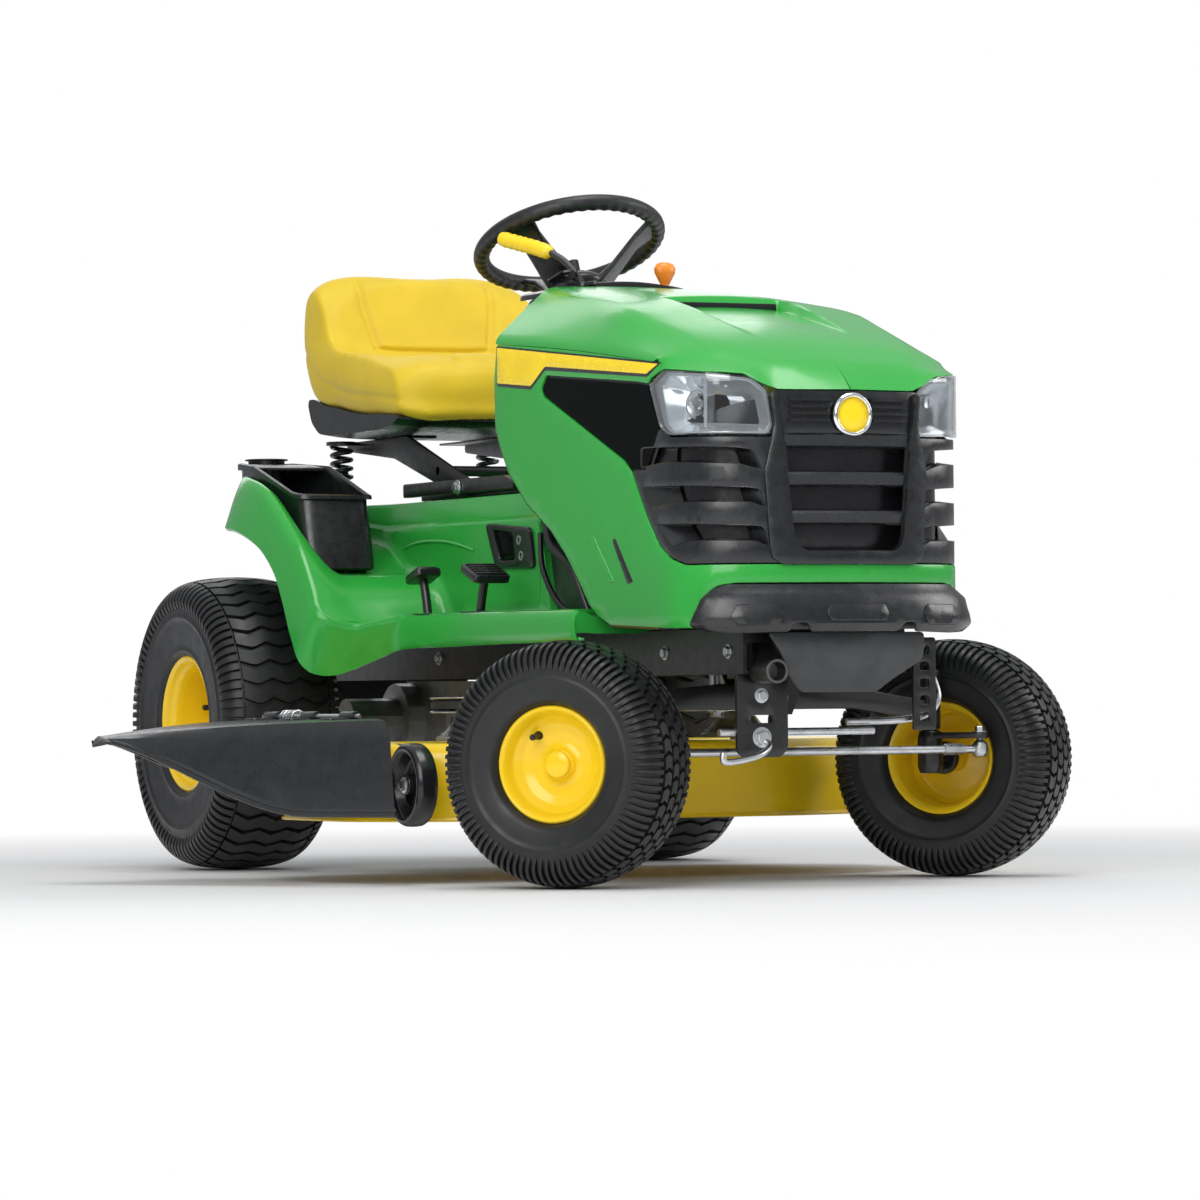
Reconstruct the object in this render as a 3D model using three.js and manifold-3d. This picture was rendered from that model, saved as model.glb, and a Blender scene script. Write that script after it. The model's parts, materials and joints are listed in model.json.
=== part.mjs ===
// Riding lawn mower: a two-blade, side-discharge lawn tractor as separate named pieces.
// Units are millimetres, +Z is up, -Y is forward and +X is the operator's left.
// Inside `machine` the datum is the ground under the rear axle; the exported group is
// shifted so that its origin is the centre of the rear hitch plate's flat face.
import * as THREE from 'three';
import { mergeVertices } from 'three/addons/utils/BufferGeometryUtils.js';
import { ConvexGeometry } from 'three/addons/geometries/ConvexGeometry.js';
import Module from 'manifold-3d';

const wasm = await Module();
wasm.setup();

// ---------------------------------------------------------------- driving dimensions

const DEG = Math.PI / 180;
const WHEELBASE = 1245;
const REAR_TYRE = { radius: 253, half: 103, seat: 101.6, flange: 116, rimHalf: 89 };
const FRONT_TYRE = { radius: 190, half: 76, seat: 76.2, flange: 89, rimHalf: 57 };
const REAR_TRACK_HALF = 397;
const FRONT_TRACK_HALF = 391;
const KINGPIN_HALF = 295;
const STEER_AT_REST = 39 * DEG;
const STEER_ARM = 85;
const AXLE_PIVOT_Z = 288;
const FRAME = { half: 140, wall: 5, low: 325, high: 395, front: -1450, rear: 215 };
const HITCH = { y: 222, z: 300 };
const SKIN = 5;
const GAP = 0.4;
const HOOD_HALF = 245;
const HOOD_HINGE = { y: -1548, z: 460 };
const TUNNEL_HALF = 150;
const PEDESTAL_HALF = 200;
const FENDER_HALF = 412;
const FLOOR_Z = 430;
const PEDESTAL_Z = 632;
const ARCH_RADIUS = 348;
const CRANK_Y = -1080;
const BELT_Z = 281;
const DECK = { low: 97, top: 222, half: 544, wall: 4 };
const BLADES = [
  { side: 'left', x: 262, y: -630 },
  { side: 'right', x: -262, y: -715 },
];
const BLADE_HALF = 262;
const WHEEL_TILT = 23 * DEG;
const WHEEL_CENTRE = [0, -540, 1055];
const WHEEL_RADIUS = 151;
const SEAT_HINGE = { y: -372, z: 650 };
const SPRING_HALF = 142;
const CHUTE_HINGE = { x: -552, z: 262 };

// ---------------------------------------------------------------- materials

const finish = (color, roughness, metalness) => () =>
  new THREE.MeshStandardMaterial({ color, roughness, metalness });
const greenPaint = finish(0x3ca546, 0.3, 0.1);
const yellowPaint = finish(0xf3d21c, 0.35, 0.1);
const yellowVinyl = finish(0xf2d322, 0.55, 0);
const blackPlastic = finish(0x1d1f21, 0.6, 0);
const blackSteel = finish(0x161718, 0.45, 0.5);
const rubber = finish(0x141414, 0.85, 0);
const castMetal = finish(0x8b8f92, 0.5, 0.8);
const bareSteel = finish(0xb4b8ba, 0.3, 1);
const clearLens = finish(0xdfe4e6, 0.1, 0);
const orangePlastic = finish(0xf08a1e, 0.45, 0);
const yellowPlastic = finish(0xf2d21e, 0.45, 0);

// ---------------------------------------------------------------- solid helpers

// A closed three.js geometry as a solid that can be joined and cut.
function solid(geometry) {
  const bare = geometry.clone();
  bare.deleteAttribute('normal');
  bare.deleteAttribute('uv');
  const merged = mergeVertices(bare, 1e-4);
  return new wasm.Manifold(new wasm.Mesh({
    numProp: 3,
    vertProperties: new Float32Array(merged.attributes.position.array),
    triVerts: new Uint32Array(merged.index.array),
  }));
}

function geometryOf(body) {
  const mesh = body.getMesh();
  const geometry = new THREE.BufferGeometry();
  geometry.setAttribute('position', new THREE.BufferAttribute(mesh.vertProperties, 3));
  geometry.setIndex(new THREE.BufferAttribute(mesh.triVerts, 1));
  geometry.computeVertexNormals();
  return geometry;
}

const join = (first, ...rest) => rest.reduce((sum, next) => sum.add(next), first);
const cut = (first, ...rest) => rest.reduce((left, next) => left.subtract(next), first);

// Box between two opposite corners.
function box(x0, x1, y0, y1, z0, z1) {
  const geometry = new THREE.BoxGeometry(x1 - x0, y1 - y0, z1 - z0);
  geometry.translate((x0 + x1) / 2, (y0 + y1) / 2, (z0 + z1) / 2);
  return solid(geometry);
}

// Turns a geometry made along +Y so that it runs along the named axis.
function alongAxis(geometry, axis) {
  if (axis === 'x') geometry.rotateZ(-Math.PI / 2);
  if (axis === 'z') geometry.rotateX(Math.PI / 2);
  return geometry;
}

// Round bar along an axis, centred on a point.
function rod(axis, radius, length, [x, y, z], sides = 10) {
  const geometry = alongAxis(new THREE.CylinderGeometry(radius, radius, length, sides), axis);
  geometry.translate(x, y, z);
  return solid(geometry);
}

// Cutter for a running fit: its flats clear a round bar of the given radius by GAP.
function bore(axis, radius, length, centre, sides = 12) {
  return rod(axis, (radius + GAP) / Math.cos(Math.PI / sides), length, centre, sides);
}

// Solid of revolution about an axis; the profile is [radius, distance along the axis].
function turned(axis, profile, [x, y, z], sides = 16) {
  const loop = profile.map(([r, t]) => new THREE.Vector2(r, t));
  if (profile[0][0] > 0) loop.push(loop[0].clone());
  const geometry = new THREE.LatheGeometry(loop, sides);
  if (axis === 'x') geometry.rotateZ(-Math.PI / 2);
  if (axis === 'z') geometry.rotateX(Math.PI / 2);
  geometry.translate(x, y, z);
  const body = solid(geometry);
  return body.volume() < 0 ? solid(flipped(geometry)) : body;
}

function flipped(geometry) {
  const index = geometry.index.array;
  for (let i = 0; i < index.length; i += 3) {
    [index[i], index[i + 1]] = [index[i + 1], index[i]];
  }
  return geometry;
}

function outline(points) {
  return new THREE.Shape(points.map(([a, b]) => new THREE.Vector2(a, b)));
}

// Prism over an outline in (x, y), from z0 to z1.
function prismZ(points, z0, z1) {
  const options = { depth: z1 - z0, bevelEnabled: false, curveSegments: 8 };
  const geometry = new THREE.ExtrudeGeometry(outline(points), options);
  geometry.translate(0, 0, z0);
  return solid(geometry);
}

// Prism over an outline in (y, z), from x0 to x1.
function prismX(points, x0, x1) {
  const options = { depth: x1 - x0, bevelEnabled: false, curveSegments: 8 };
  const geometry = new THREE.ExtrudeGeometry(outline(points), options);
  geometry.rotateX(Math.PI / 2);
  geometry.rotateZ(Math.PI / 2);
  geometry.translate(x0, 0, 0);
  return solid(geometry);
}

// Prism over an outline in (x, z), from y0 to y1.
function prismY(points, y0, y1) {
  const options = { depth: y1 - y0, bevelEnabled: false, curveSegments: 8 };
  const geometry = new THREE.ExtrudeGeometry(outline(points), options);
  geometry.rotateX(Math.PI / 2);
  geometry.translate(0, y1, 0);
  return solid(geometry);
}

// Round bar bent along a smooth path through the points.
function bentRod(points, radius, steps = 12, sides = 8) {
  const spots = points.map((p) => new THREE.Vector3(...p));
  const path = new THREE.CatmullRomCurve3(spots, false, 'catmullrom', 0.3);
  return swept(path, radius, steps, sides);
}

function swept(path, radius, steps, sides) {
  const ring = [];
  for (let i = 0; i < sides; i += 1) {
    const angle = (2 * Math.PI * i) / sides;
    ring.push([radius * Math.cos(angle), radius * Math.sin(angle)]);
  }
  return solid(new THREE.ExtrudeGeometry(outline(ring), { steps, extrudePath: path }));
}

// Smallest convex solid around a set of points.
const hullOf = (points) => solid(new ConvexGeometry(points.map((p) => new THREE.Vector3(...p))));

// Lowest first, so that a span can be given outwards on either side.
const ordered = (a, b) => [Math.min(a, b), Math.max(a, b)];

// The points with their mirror images in the plane x = 0.
function bothSides(points) {
  return points.flatMap(([x, y, z]) => (x === 0 ? [[x, y, z]] : [[x, y, z], [-x, y, z]]));
}

// Points on a circle in the (x, y) plane at height z.
function circlePoints(x, y, z, radius, count = 20) {
  return Array.from({ length: count }, (_, i) => {
    const angle = (2 * Math.PI * i) / count;
    return [x + radius * Math.cos(angle), y + radius * Math.sin(angle), z];
  });
}

const machine = new THREE.Group();
machine.position.set(0, -HITCH.y, -HITCH.z);

function put(name, material, body, parent = machine) {
  const mesh = new THREE.Mesh(geometryOf(body), material());
  mesh.name = name;
  parent.add(mesh);
  return mesh;
}

// ---------------------------------------------------------------- wheels

// Tyre section from the bead round the sidewall and tread, hollow inside.
function tyreProfile({ radius, half, seat, flange, rimHalf }) {
  const outside = [
    [seat + 1, rimHalf - 20],
    [seat + 6, rimHalf - 7],
    [flange + 1.5, rimHalf - 5.5],
    [flange + 7, (rimHalf + half) / 2],
    [(flange + radius) / 2, half],
    [radius - 9, half * 0.82],
    [radius, half * 0.45],
  ];
  const inside = [
    [flange + 4, 14 - rimHalf],
    [radius - 16, -half * 0.55],
    [radius - 16, half * 0.55],
    [flange + 4, rimHalf - 14],
  ];
  const farSide = outside.map(([r, t]) => [r, -t]).reverse();
  return [...outside, ...farSide, ...inside];
}

// One-piece pressed rim: barrel with flanges, a dished disc and a hub tube.
// Positive distance is the outer face; bore and hub reach set how it sits on its shaft.
function rimProfile({ seat, flange, rimHalf }, { bore: hole, hub, hubIn, hubOut, disc }) {
  return [
    [flange, rimHalf],
    [seat + 3, rimHalf - 5],
    [seat, rimHalf - 12],
    [seat, 12 - rimHalf],
    [seat + 3, 5 - rimHalf],
    [flange, -rimHalf],
    [seat - 4, 8 - rimHalf],
    [seat - 4, disc - 9],
    [hub, disc - 2],
    [hub, hubIn],
    [hole, hubIn],
    [hole, hubOut],
    [hub, hubOut],
    [hub, disc + 2],
    [seat - 16, disc + 6],
    [seat - 4, disc + 18],
    [seat - 4, rimHalf - 8],
  ];
}

function mirrorProfile(profile, side) {
  return side > 0 ? profile : profile.map(([r, t]) => [r, -t]).reverse();
}

const SIDES = [['left', 1], ['right', -1]];
const STUB_RADIUS = 9.5;
const STUB_REACH = FRONT_TRACK_HALF - KINGPIN_HALF;

for (const [name, side] of SIDES) {
  const corner = new THREE.Group();
  corner.position.set(side * KINGPIN_HALF, -WHEELBASE, 0);
  corner.rotation.z = STEER_AT_REST;
  machine.add(corner);

  const hubZ = FRONT_TYRE.radius;
  const stubEnd = side * (STUB_REACH + 36);
  const stub = rod('x', STUB_RADIUS, Math.abs(stubEnd), [stubEnd / 2, 0, hubZ]);
  const shoulder = rod('x', 15, 4, [side * (STUB_REACH - 46), 0, hubZ]);
  const kingpin = rod('z', 9, 150, [0, 0, 264]);
  const boss = turned('z', [[0, -32], [16, -32], [19, -20], [19, 32], [0, 32]], [0, 0, 200]);
  const arm = box(-14, 14, -STEER_ARM - 14, 0, 222, 230);
  const armHole = bore('z', 5.2, 30, [0, -STEER_ARM, 226]);
  const washer = rod('z', 13, 3, [0, 0, 333]);
  const spindle = cut(join(stub, shoulder, kingpin, boss, arm, washer), armHole);
  put(`spindle_${name}`, blackSteel, spindle, corner);

  const wheelAt = [side * STUB_REACH, 0, hubZ];
  const frontHub = { bore: STUB_RADIUS + 2 * GAP, hub: 19, hubIn: -42, hubOut: 30, disc: 8 };
  const rim = mirrorProfile(rimProfile(FRONT_TYRE, frontHub), side);
  put(`front_rim_${name}`, yellowPaint, turned('x', rim, wheelAt), corner);
  const tyre = mirrorProfile(tyreProfile(FRONT_TYRE), side);
  put(`front_tyre_${name}`, rubber, turned('x', tyre, wheelAt, 22), corner);
}

const HOUSING_HALF = 188;
for (const [name, side] of SIDES) {
  const hubZ = REAR_TYRE.radius;
  const reach = REAR_TRACK_HALF + 30;
  const length = reach - HOUSING_HALF - 2;
  const middle = side * (HOUSING_HALF + 2 + length / 2);
  put(`axle_shaft_${name}`, bareSteel, rod('x', 12.7, length, [middle, 0, hubZ]));

  const wheelAt = [side * REAR_TRACK_HALF, 0, hubZ];
  const rearHub = { bore: 12.7 + 2 * GAP, hub: 24, hubIn: -80, hubOut: 22, disc: -6 };
  const rim = mirrorProfile(rimProfile(REAR_TYRE, rearHub), side);
  put(`rear_rim_${name}`, yellowPaint, turned('x', rim, wheelAt));
  const tyre = mirrorProfile(tyreProfile(REAR_TYRE), side);
  put(`rear_tyre_${name}`, rubber, turned('x', tyre, wheelAt, 24));
}

// ---------------------------------------------------------------- chassis

function makeFrame() {
  const { half, wall, low, high, front, rear } = FRAME;
  const rails = SIDES.flatMap(([, side]) => {
    const edge = (inset) => side * (half - inset);
    const span = (a, b, z0, z1) => box(...ordered(a, b), front, rear, z0, z1);
    return [
      span(edge(wall), edge(0), low, high),
      span(edge(32), edge(0), high - 4, high),
      span(edge(26), edge(0), low, low + 4),
    ];
  });
  const rearPlate = box(-half, half, rear - 6, rear, 250, high);
  const frontPlate = box(-half, half, front, front + 5, low, high);
  const bedPlate = box(-half, half, -1270, -890, high - 5, high);
  const engineBed = cut(bedPlate, rod('z', 34, 20, [0, CRANK_Y, high]));
  const rearBed = box(-half, half, -60, 60, high - 5, high);
  const saddle = box(-half, half, -WHEELBASE - 40, -WHEELBASE + 40, low, low + 6);
  const ears = [-1, 1].map((s) => {
    const inner = -WHEELBASE + s * 31;
    const outer = -WHEELBASE + s * 36;
    const profile = [[-60, low + 6], [-30, 262], [30, 262], [60, low + 6]];
    return prismY(profile, ...ordered(inner, outer));
  });
  const pivotHole = bore('y', 9.7, 120, [0, -WHEELBASE, AXLE_PIVOT_Z]);
  const pipeNotch = box(-134, -72, front - 2, front + 45, low - 5, 372);
  const welded = join(...rails, rearPlate, frontPlate, engineBed, rearBed, saddle, ...ears);
  return cut(welded, pivotHole, pipeNotch);
}

function makeFrontAxle() {
  const profile = [
    [-284, 246], [-150, 268], [150, 268], [284, 246],
    [284, 284], [150, 306], [-150, 306], [-284, 284],
  ];
  const beam = prismY(profile, -WHEELBASE - 14, -WHEELBASE + 14);
  const boss = rod('y', 24, 56, [0, -WHEELBASE, AXLE_PIVOT_Z], 16);
  const tubes = SIDES.map(([, s]) => rod('z', 14, 94, [s * KINGPIN_HALF, -WHEELBASE, 283]));
  const bores = SIDES.map(([, s]) => bore('z', 9, 120, [s * KINGPIN_HALF, -WHEELBASE, 283]));
  const pivotBore = bore('y', 9.7, 80, [0, -WHEELBASE, AXLE_PIVOT_Z]);
  return cut(join(beam, boss, ...tubes), ...bores, pivotBore);
}

function makePivotBolt() {
  const at = (dy) => [0, -WHEELBASE + dy, AXLE_PIVOT_Z];
  const shank = rod('y', 9.7, 96, at(0));
  const head = rod('y', 15, 9, at(-41.3), 6);
  const nut = rod('y', 15, 9, at(41.3), 6);
  return join(shank, head, nut);
}

// The rod runs parallel to the line between the kingpins, with an upturned end in each arm.
function makeTieRod() {
  const ball = (side) => {
    const x = side * KINGPIN_HALF + STEER_ARM * Math.sin(STEER_AT_REST);
    return [x, -WHEELBASE - STEER_ARM * Math.cos(STEER_AT_REST)];
  };
  const [[lx, y], [rx]] = [ball(1), ball(-1)];
  const bar = rod('x', 6, lx - rx, [(lx + rx) / 2, y, 204], 10);
  const ends = [lx, rx].map((x) => join(
    rod('z', 5.2, 40, [x, y, 217], 10),
    rod('z', 9, 16, [x, y, 206], 10),
    rod('z', 8, 4, [x, y, 232.6], 10),
  ));
  return join(bar, ...ends);
}

put('frame', blackSteel, makeFrame());
put('front_axle', blackSteel, makeFrontAxle());
put('axle_pivot_bolt', bareSteel, makePivotBolt());
put('tie_rod', bareSteel, makeTieRod());

function makeHitch() {
  const plate = box(-55, 55, FRAME.rear + GAP, HITCH.y, 250, 350);
  const foot = HITCH.y - 4;
  const tip = HITCH.y + 58;
  const tongue = prismZ([[-50, foot], [50, foot], [34, tip], [-34, tip]], 250, 257);
  return cut(join(plate, tongue), rod('z', 11, 20, [0, HITCH.y + 34, 253]));
}
put('hitch_plate', blackSteel, makeHitch());

function makeTransaxle() {
  const z = REAR_TYRE.radius;
  const tube = rod('x', 40, 2 * HOUSING_HALF, [0, 0, z], 14);
  const gearcase = rod('x', 66, 190, [0, 0, z], 16);
  const pump = box(-62, 62, -150, 20, 196, 322);
  const inputShaft = rod('z', 9, 60, [0, -105, 170]);
  const groove = [[0, -9], [52, -9], [52, -6], [44, 0], [52, 6], [52, 9], [0, 9]];
  const inputPulley = turned('z', groove, [0, -105, 160]);
  return join(tube, gearcase, pump, inputShaft, inputPulley);
}
put('transaxle', castMetal, makeTransaxle());

// ---------------------------------------------------------------- engine bay

function makeEngine() {
  const base = FRAME.high + GAP;
  const sump = box(-125, 125, CRANK_Y - 120, CRANK_Y + 130, base, 520);
  const heads = [-1, 1].map((s) => {
    const reach = ordered(s * 40, s * 165);
    return box(...reach, CRANK_Y - 190, CRANK_Y - 60, 440, 560);
  });
  const fins = [0, 1, 2].map((i) => {
    const front = CRANK_Y - 196 + i * 44;
    return box(-172, 172, front, front + 12, 450, 552);
  });
  const blower = [[0, 0], [158, 0], [158, 110], [140, 142], [96, 150], [92, 166], [0, 166]];
  const shroud = turned('z', blower, [0, CRANK_Y, 515], 20);
  const filter = box(60, 168, CRANK_Y + 60, CRANK_Y + 190, 530, 650);
  return join(sump, ...heads, ...fins, shroud, filter);
}
put('engine', castMetal, makeEngine());

function makeEnginePulley() {
  const shaft = rod('z', 13, 120, [0, CRANK_Y, 334.5]);
  const pulley = turned('z', pulleyProfile(50, 62), [0, CRANK_Y, BELT_Z]);
  return join(shaft, pulley);
}

// V-belt pulley section: groove floor and flange radii, on a solid web.
function pulleyProfile(groove, flangeRadius) {
  return [
    [0, -13], [flangeRadius, -13], [flangeRadius, -11], [groove, -7],
    [groove, 7], [flangeRadius, 11], [flangeRadius, 13], [0, 13],
  ];
}
put('engine_pulley', bareSteel, makeEnginePulley());

function makeMuffler() {
  const can = rod('x', 46, 230, [5, -1368, 446], 20);
  const pipePath = [
    [-82, -1390, 430], [-86, -1410, 372], [-100, -1440, 336],
    [-107, -1462, 329], [-107, -1490, 329],
  ];
  const pipe = bentRod(pipePath, 18, 8, 10);
  const outlet = rod('y', 14.5, 60, [-107, -1482, 329], 12);
  return cut(join(can, pipe), outlet);
}
put('muffler', castMetal, makeMuffler());

// ---------------------------------------------------------------- body panels

// Centre line of the filler neck, from the tank under the tunnel to the left fender.
const FILLER_PATH = [
  [100, -446, 560], [130, -380, 560], [150, -200, 565], [200, -115, 590],
  [300, -66, 622], [330, -60, 650], [330, -60, 676],
];

const FOOTREST = { front: -1112, rear: -395, half: 268, lip: 380 };
const FENDER_CROWN = [[20, 690], [100, 679], [165, 640], [196, 594]];
const FENDER_FRONT = [
  [-404, FLOOR_Z - SKIN], [-392, 440], [-335, 560], [-280, 636], [-150, 682],
];

// One footrest with its outer flange and nose.
function makeFootrest(span) {
  const { front, rear, half, lip } = FOOTREST;
  const floor = box(...span(TUNNEL_HALF - SKIN, half), front, rear, FLOOR_Z - SKIN, FLOOR_Z);
  const flange = box(...span(half - SKIN, half), front, rear - SKIN, lip, FLOOR_Z);
  const nose = box(...span(TUNNEL_HALF + 20, half), front - SKIN, front + 1, lip + 12, FLOOR_Z);
  return [floor, flange, nose];
}

// One fender: the arched skin over the wheel, its outer skirt and the apron in front of it.
function makeFender(span) {
  const top = [...FENDER_FRONT, ...FENDER_CROWN];
  const under = top.map(([y, z]) => [y * 0.98 + 6, z - SKIN]).reverse();
  const skin = prismX([...top, ...under], ...span(PEDESTAL_HALF - SKIN, FENDER_HALF));
  const hem = [[196, 586], [100, 586], [-60, 586], [-240, 480], [-345, 362], [-400, 372]];
  const skirtFace = [[-404, FLOOR_Z], ...FENDER_FRONT.slice(1), ...FENDER_CROWN, ...hem];
  const arch = rod('x', ARCH_RADIUS, 1000, [0, 0, REAR_TYRE.radius], 32);
  const skirt = cut(prismX(skirtFace, ...span(FENDER_HALF - SKIN, FENDER_HALF)), arch);
  const apronFace = [[-404, 396], [-399, 396], [-399, FLOOR_Z], [-404, FLOOR_Z]];
  const apron = prismX(apronFace, ...span(TUNNEL_HALF, FENDER_HALF));
  return [skin, skirt, apron];
}

function makeFenderDeck() {
  const plan = (half, y0, y1) => [[-half, y0], [half, y0], [half, y1], [-half, y1]];
  const tunnelOut = prismZ(plan(TUNNEL_HALF, -800, -395), 378, PEDESTAL_Z);
  const tunnelIn = prismZ(plan(TUNNEL_HALF - SKIN, -810, -380), 300, PEDESTAL_Z - SKIN);
  const seatOut = prismZ(plan(PEDESTAL_HALF, -400, 175), 398, PEDESTAL_Z);
  const seatIn = prismZ(plan(PEDESTAL_HALF - SKIN, -395, 168), 300, PEDESTAL_Z - SKIN);
  const parts = SIDES.flatMap(([, side]) => {
    const span = (a, b) => ordered(side * a, side * b);
    return [...makeFootrest(span), ...makeFender(span)];
  });
  const shell = join(cut(join(tunnelOut, seatOut), tunnelIn, seatIn), ...parts);
  const pedalSlots = [[-262, -228, -770, -640], [-262, -228, -560, -440], [190, 225, -800, -640]]
    .map(([x0, x1, y0, y1]) => box(x0, x1, y0, y1, 400, 470));
  const leverSlot = box(226, 244, -470, -215, 446, 720);
  const trayPocket = box(-340, -228, -345, 82, 478, 760);
  const neckHole = join(bentRod(FILLER_PATH, 22, 14, 10), rod('z', 30, 60, [330, -60, 700]));
  return cut(shell, ...pedalSlots, leverSlot, trayPocket, neckHole);
}
put('fender_deck', greenPaint, makeFenderDeck());

// Deep open box let into the right fender, with a drink holder at its rear.
function makeTray() {
  const side = [[-300, 512], [-296, 655], [-40, 694], [-36, 716], [78, 716], [78, 600], [-60, 530]];
  const inner = [[-290, 524], [-288, 760], [70, 760], [70, 612], [-62, 540]];
  const body = prismX(side, -338, -232);
  return cut(body, prismX(inner, -332, -238));
}
put('storage_tray', blackPlastic, makeTray());

function makeConsole() {
  const foot = PEDESTAL_Z + GAP;
  const side = [
    [-772, 640], [-772, 952], [-640, 962], [-590, 948], [-560, 900], [-575, foot], [-765, foot],
  ];
  const hollow = [[-764, 600], [-764, 944], [-642, 955], [-596, 942], [-568, 898], [-583, 600]];
  const body = prismX(side, -205, 205);
  const inner = prismX(hollow, -199, 199);
  const columnHole = columnRod(19, -260, -40);
  const throttleSlot = box(84, 116, -745, -655, 900, 990);
  const ptoSlot = box(-86, -58, -772, -715, 900, 990);
  const keyHole = rod('y', 11, 60, [-85, -560, 850]);
  return cut(body, inner, columnHole, throttleSlot, ptoSlot, keyHole);
}

// Round bar along the steering column, measured from the wheel's centre towards the operator.
function columnRod(radius, from, to, sides = 16) {
  const geometry = new THREE.CylinderGeometry(radius, radius, to - from, sides);
  geometry.translate(0, (from + to) / 2, 0);
  geometry.rotateX(Math.PI / 2 - WHEEL_TILT);
  geometry.translate(...WHEEL_CENTRE);
  return solid(geometry);
}
put('dash_console', blackPlastic, makeConsole());

// ---------------------------------------------------------------- hood

// Corner points of the hood's outer surface, one side; pull moves them inwards.
function hoodPoints(pull) {
  const deep = pull > 0 ? 60 : 0;
  return bothSides([
    [0, -777 + deep, 966 - pull],
    [0, -1100, 930 - pull],
    [0, -1290, 882 - pull],
    [0, -1420, 838 - pull],
    [0, -1500 + pull, 798 - pull],
    [0, -1545 + pull, 756],
    [0, -1545 + pull, 462 - deep],
    [150 - pull, -777 + deep, 960 - pull],
    [190 - pull, -1084, 918 - pull],
    [206 - pull, -1187, 900 - pull],
    [202 - pull, -1264, 876 - pull],
    [186 - pull, -1360, 847 - pull],
    [174 - pull, -1430 + pull, 825 - pull],
    [136, -1487 + pull, 798 - pull],
    [HOOD_HALF - pull, -779 + deep, 877 - pull],
    [HOOD_HALF - pull, -987, 858],
    [HOOD_HALF - pull, -1172, 838 - pull],
    [HOOD_HALF - pull, -1386 + pull, 808 - pull],
    [215 - pull, -1425 + pull, 785],
    [182 - pull, -1506 + pull, 740],
    [182 - pull, -1506 + pull, 462 - deep],
    [HOOD_HALF - pull, -1432 + pull, 700],
    [HOOD_HALF - pull, -1440 + pull, 462 - deep],
    [HOOD_HALF - pull, -770 + deep, 645 - deep],
    [HOOD_HALF - pull, -902 + deep, 513 - deep],
    [HOOD_HALF - pull, -1198, 402 - deep],
    [HOOD_HALF - pull, -1440 + pull, 398 - deep],
  ]);
}

const hoodOuter = hullOf(hoodPoints(0));
const hoodInner = hullOf(hoodPoints(6));
const maskInner = hullOf(hoodPoints(22));
const lampInner = hullOf(hoodPoints(48));
const belowBand = box(-236, 236, -1560, -1300, 300, 461);

const maskZone = (grow) => prismX([
  [-1600, 487 - grow], [-1395 + grow, 487 - grow], [-1310 + grow, 640], [-1330 + grow, 790 + grow],
  [-1395 - grow, 798 + grow], [-1395 - grow, 757 + grow], [-1600, 757 + grow],
], -260, 260);
const lampZone = (side, grow) => prismY([
  [side * (112 - grow), 690], [side * (140 - grow), 648 - grow], [side * 262, 648 - grow],
  [side * 262, 785 + grow], [side * (118 - grow), 755 + grow],
], -1580, -1384 + grow);

const lampOpenings = SIDES.map(([, side]) => lampZone(side, GAP));
put('hood', greenPaint, cut(hoodOuter, hoodInner, maskZone(GAP), ...lampOpenings, belowBand));

function makeGrille() {
  const slots = [];
  for (const z of [528, 584, 641]) {
    slots.push(box(-96, 96, -1600, -1490, z, z + 28));
    for (const side of [-1, 1]) {
      slots.push(box(...ordered(side * 128, side * 300), -1500, -1425, z - 4, z + 22));
    }
  }
  const mask = cut(hoodOuter.intersect(maskZone(0)), maskInner);
  return cut(mask, ...lampOpenings, ...slots);
}
put('grille', blackPlastic, makeGrille());

for (const [name, side] of SIDES) {
  put(`headlight_${name}`, clearLens, cut(hoodOuter.intersect(lampZone(side, 0)), lampInner));
}

function makeBumper() {
  const outside = [
    [-232, -1425], [-232, -1482], [-190, -1532], [0, -1552],
    [190, -1532], [232, -1482], [232, -1425],
  ];
  const inside = [
    [210, -1425], [206, -1470], [170, -1502], [0, -1518],
    [-170, -1502], [-206, -1470], [-210, -1425],
  ];
  const bar = prismZ([...outside, ...inside], 384, 454);
  const arms = SIDES.map(([, s]) => {
    const reach = ordered(s * 100, s * 120);
    return box(...reach, -1515, FRAME.front - GAP, 398, 440);
  });
  const plate = box(-125, 125, FRAME.front - 6, FRAME.front - GAP, 396, 444);
  const chamfer = prismX([[-1560, 380], [-1560, 424], [-1534, 380]], -300, 300);
  return cut(join(bar, ...arms, plate), chamfer);
}
put('front_bumper', blackPlastic, makeBumper());

// Sheet guard hung under the bumper, bent back towards the frame.
function makeSkidPlate() {
  const side = [[-1500, 383], [-1500, 366], [-1472, 306], [-1468, 306], [-1496, 366], [-1496, 383]];
  const face = prismX(side, -70, 150);
  const corners = [
    [[-72, 300], [-30, 300], [-72, 340]],
    [[152, 300], [152, 350], [118, 300]],
  ];
  return cut(face, ...corners.map((corner) => prismY(corner, -1520, -1440)));
}
put('skid_plate', castMetal, makeSkidPlate());

// ---------------------------------------------------------------- seat

// Side view of the cushion, from its front edge over the pan and the backrest.
const CUSHION_SIDE = [
  [-300, 800], [-306, 838], [-286, 870], [-200, 872], [-40, 862], [20, 880], [58, 960],
  [84, 1036], [116, 1052], [146, 1040], [158, 980], [146, 880], [118, 812], [60, 792],
];

function makeCushion() {
  const body = prismX(CUSHION_SIDE, -214, 214);
  const trims = SIDES.flatMap(([, s]) => {
    const frontCorner = prismZ([[s * 216, -310], [s * 216, -250], [s * 160, -310]], 780, 900);
    const topCorner = prismY([[s * 216, 1056], [s * 216, 1000], [s * 150, 1056]], 40, 170);
    return [frontCorner, topCorner];
  });
  return cut(body, ...trims);
}
put('seat_cushion', yellowVinyl, makeCushion());

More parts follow.
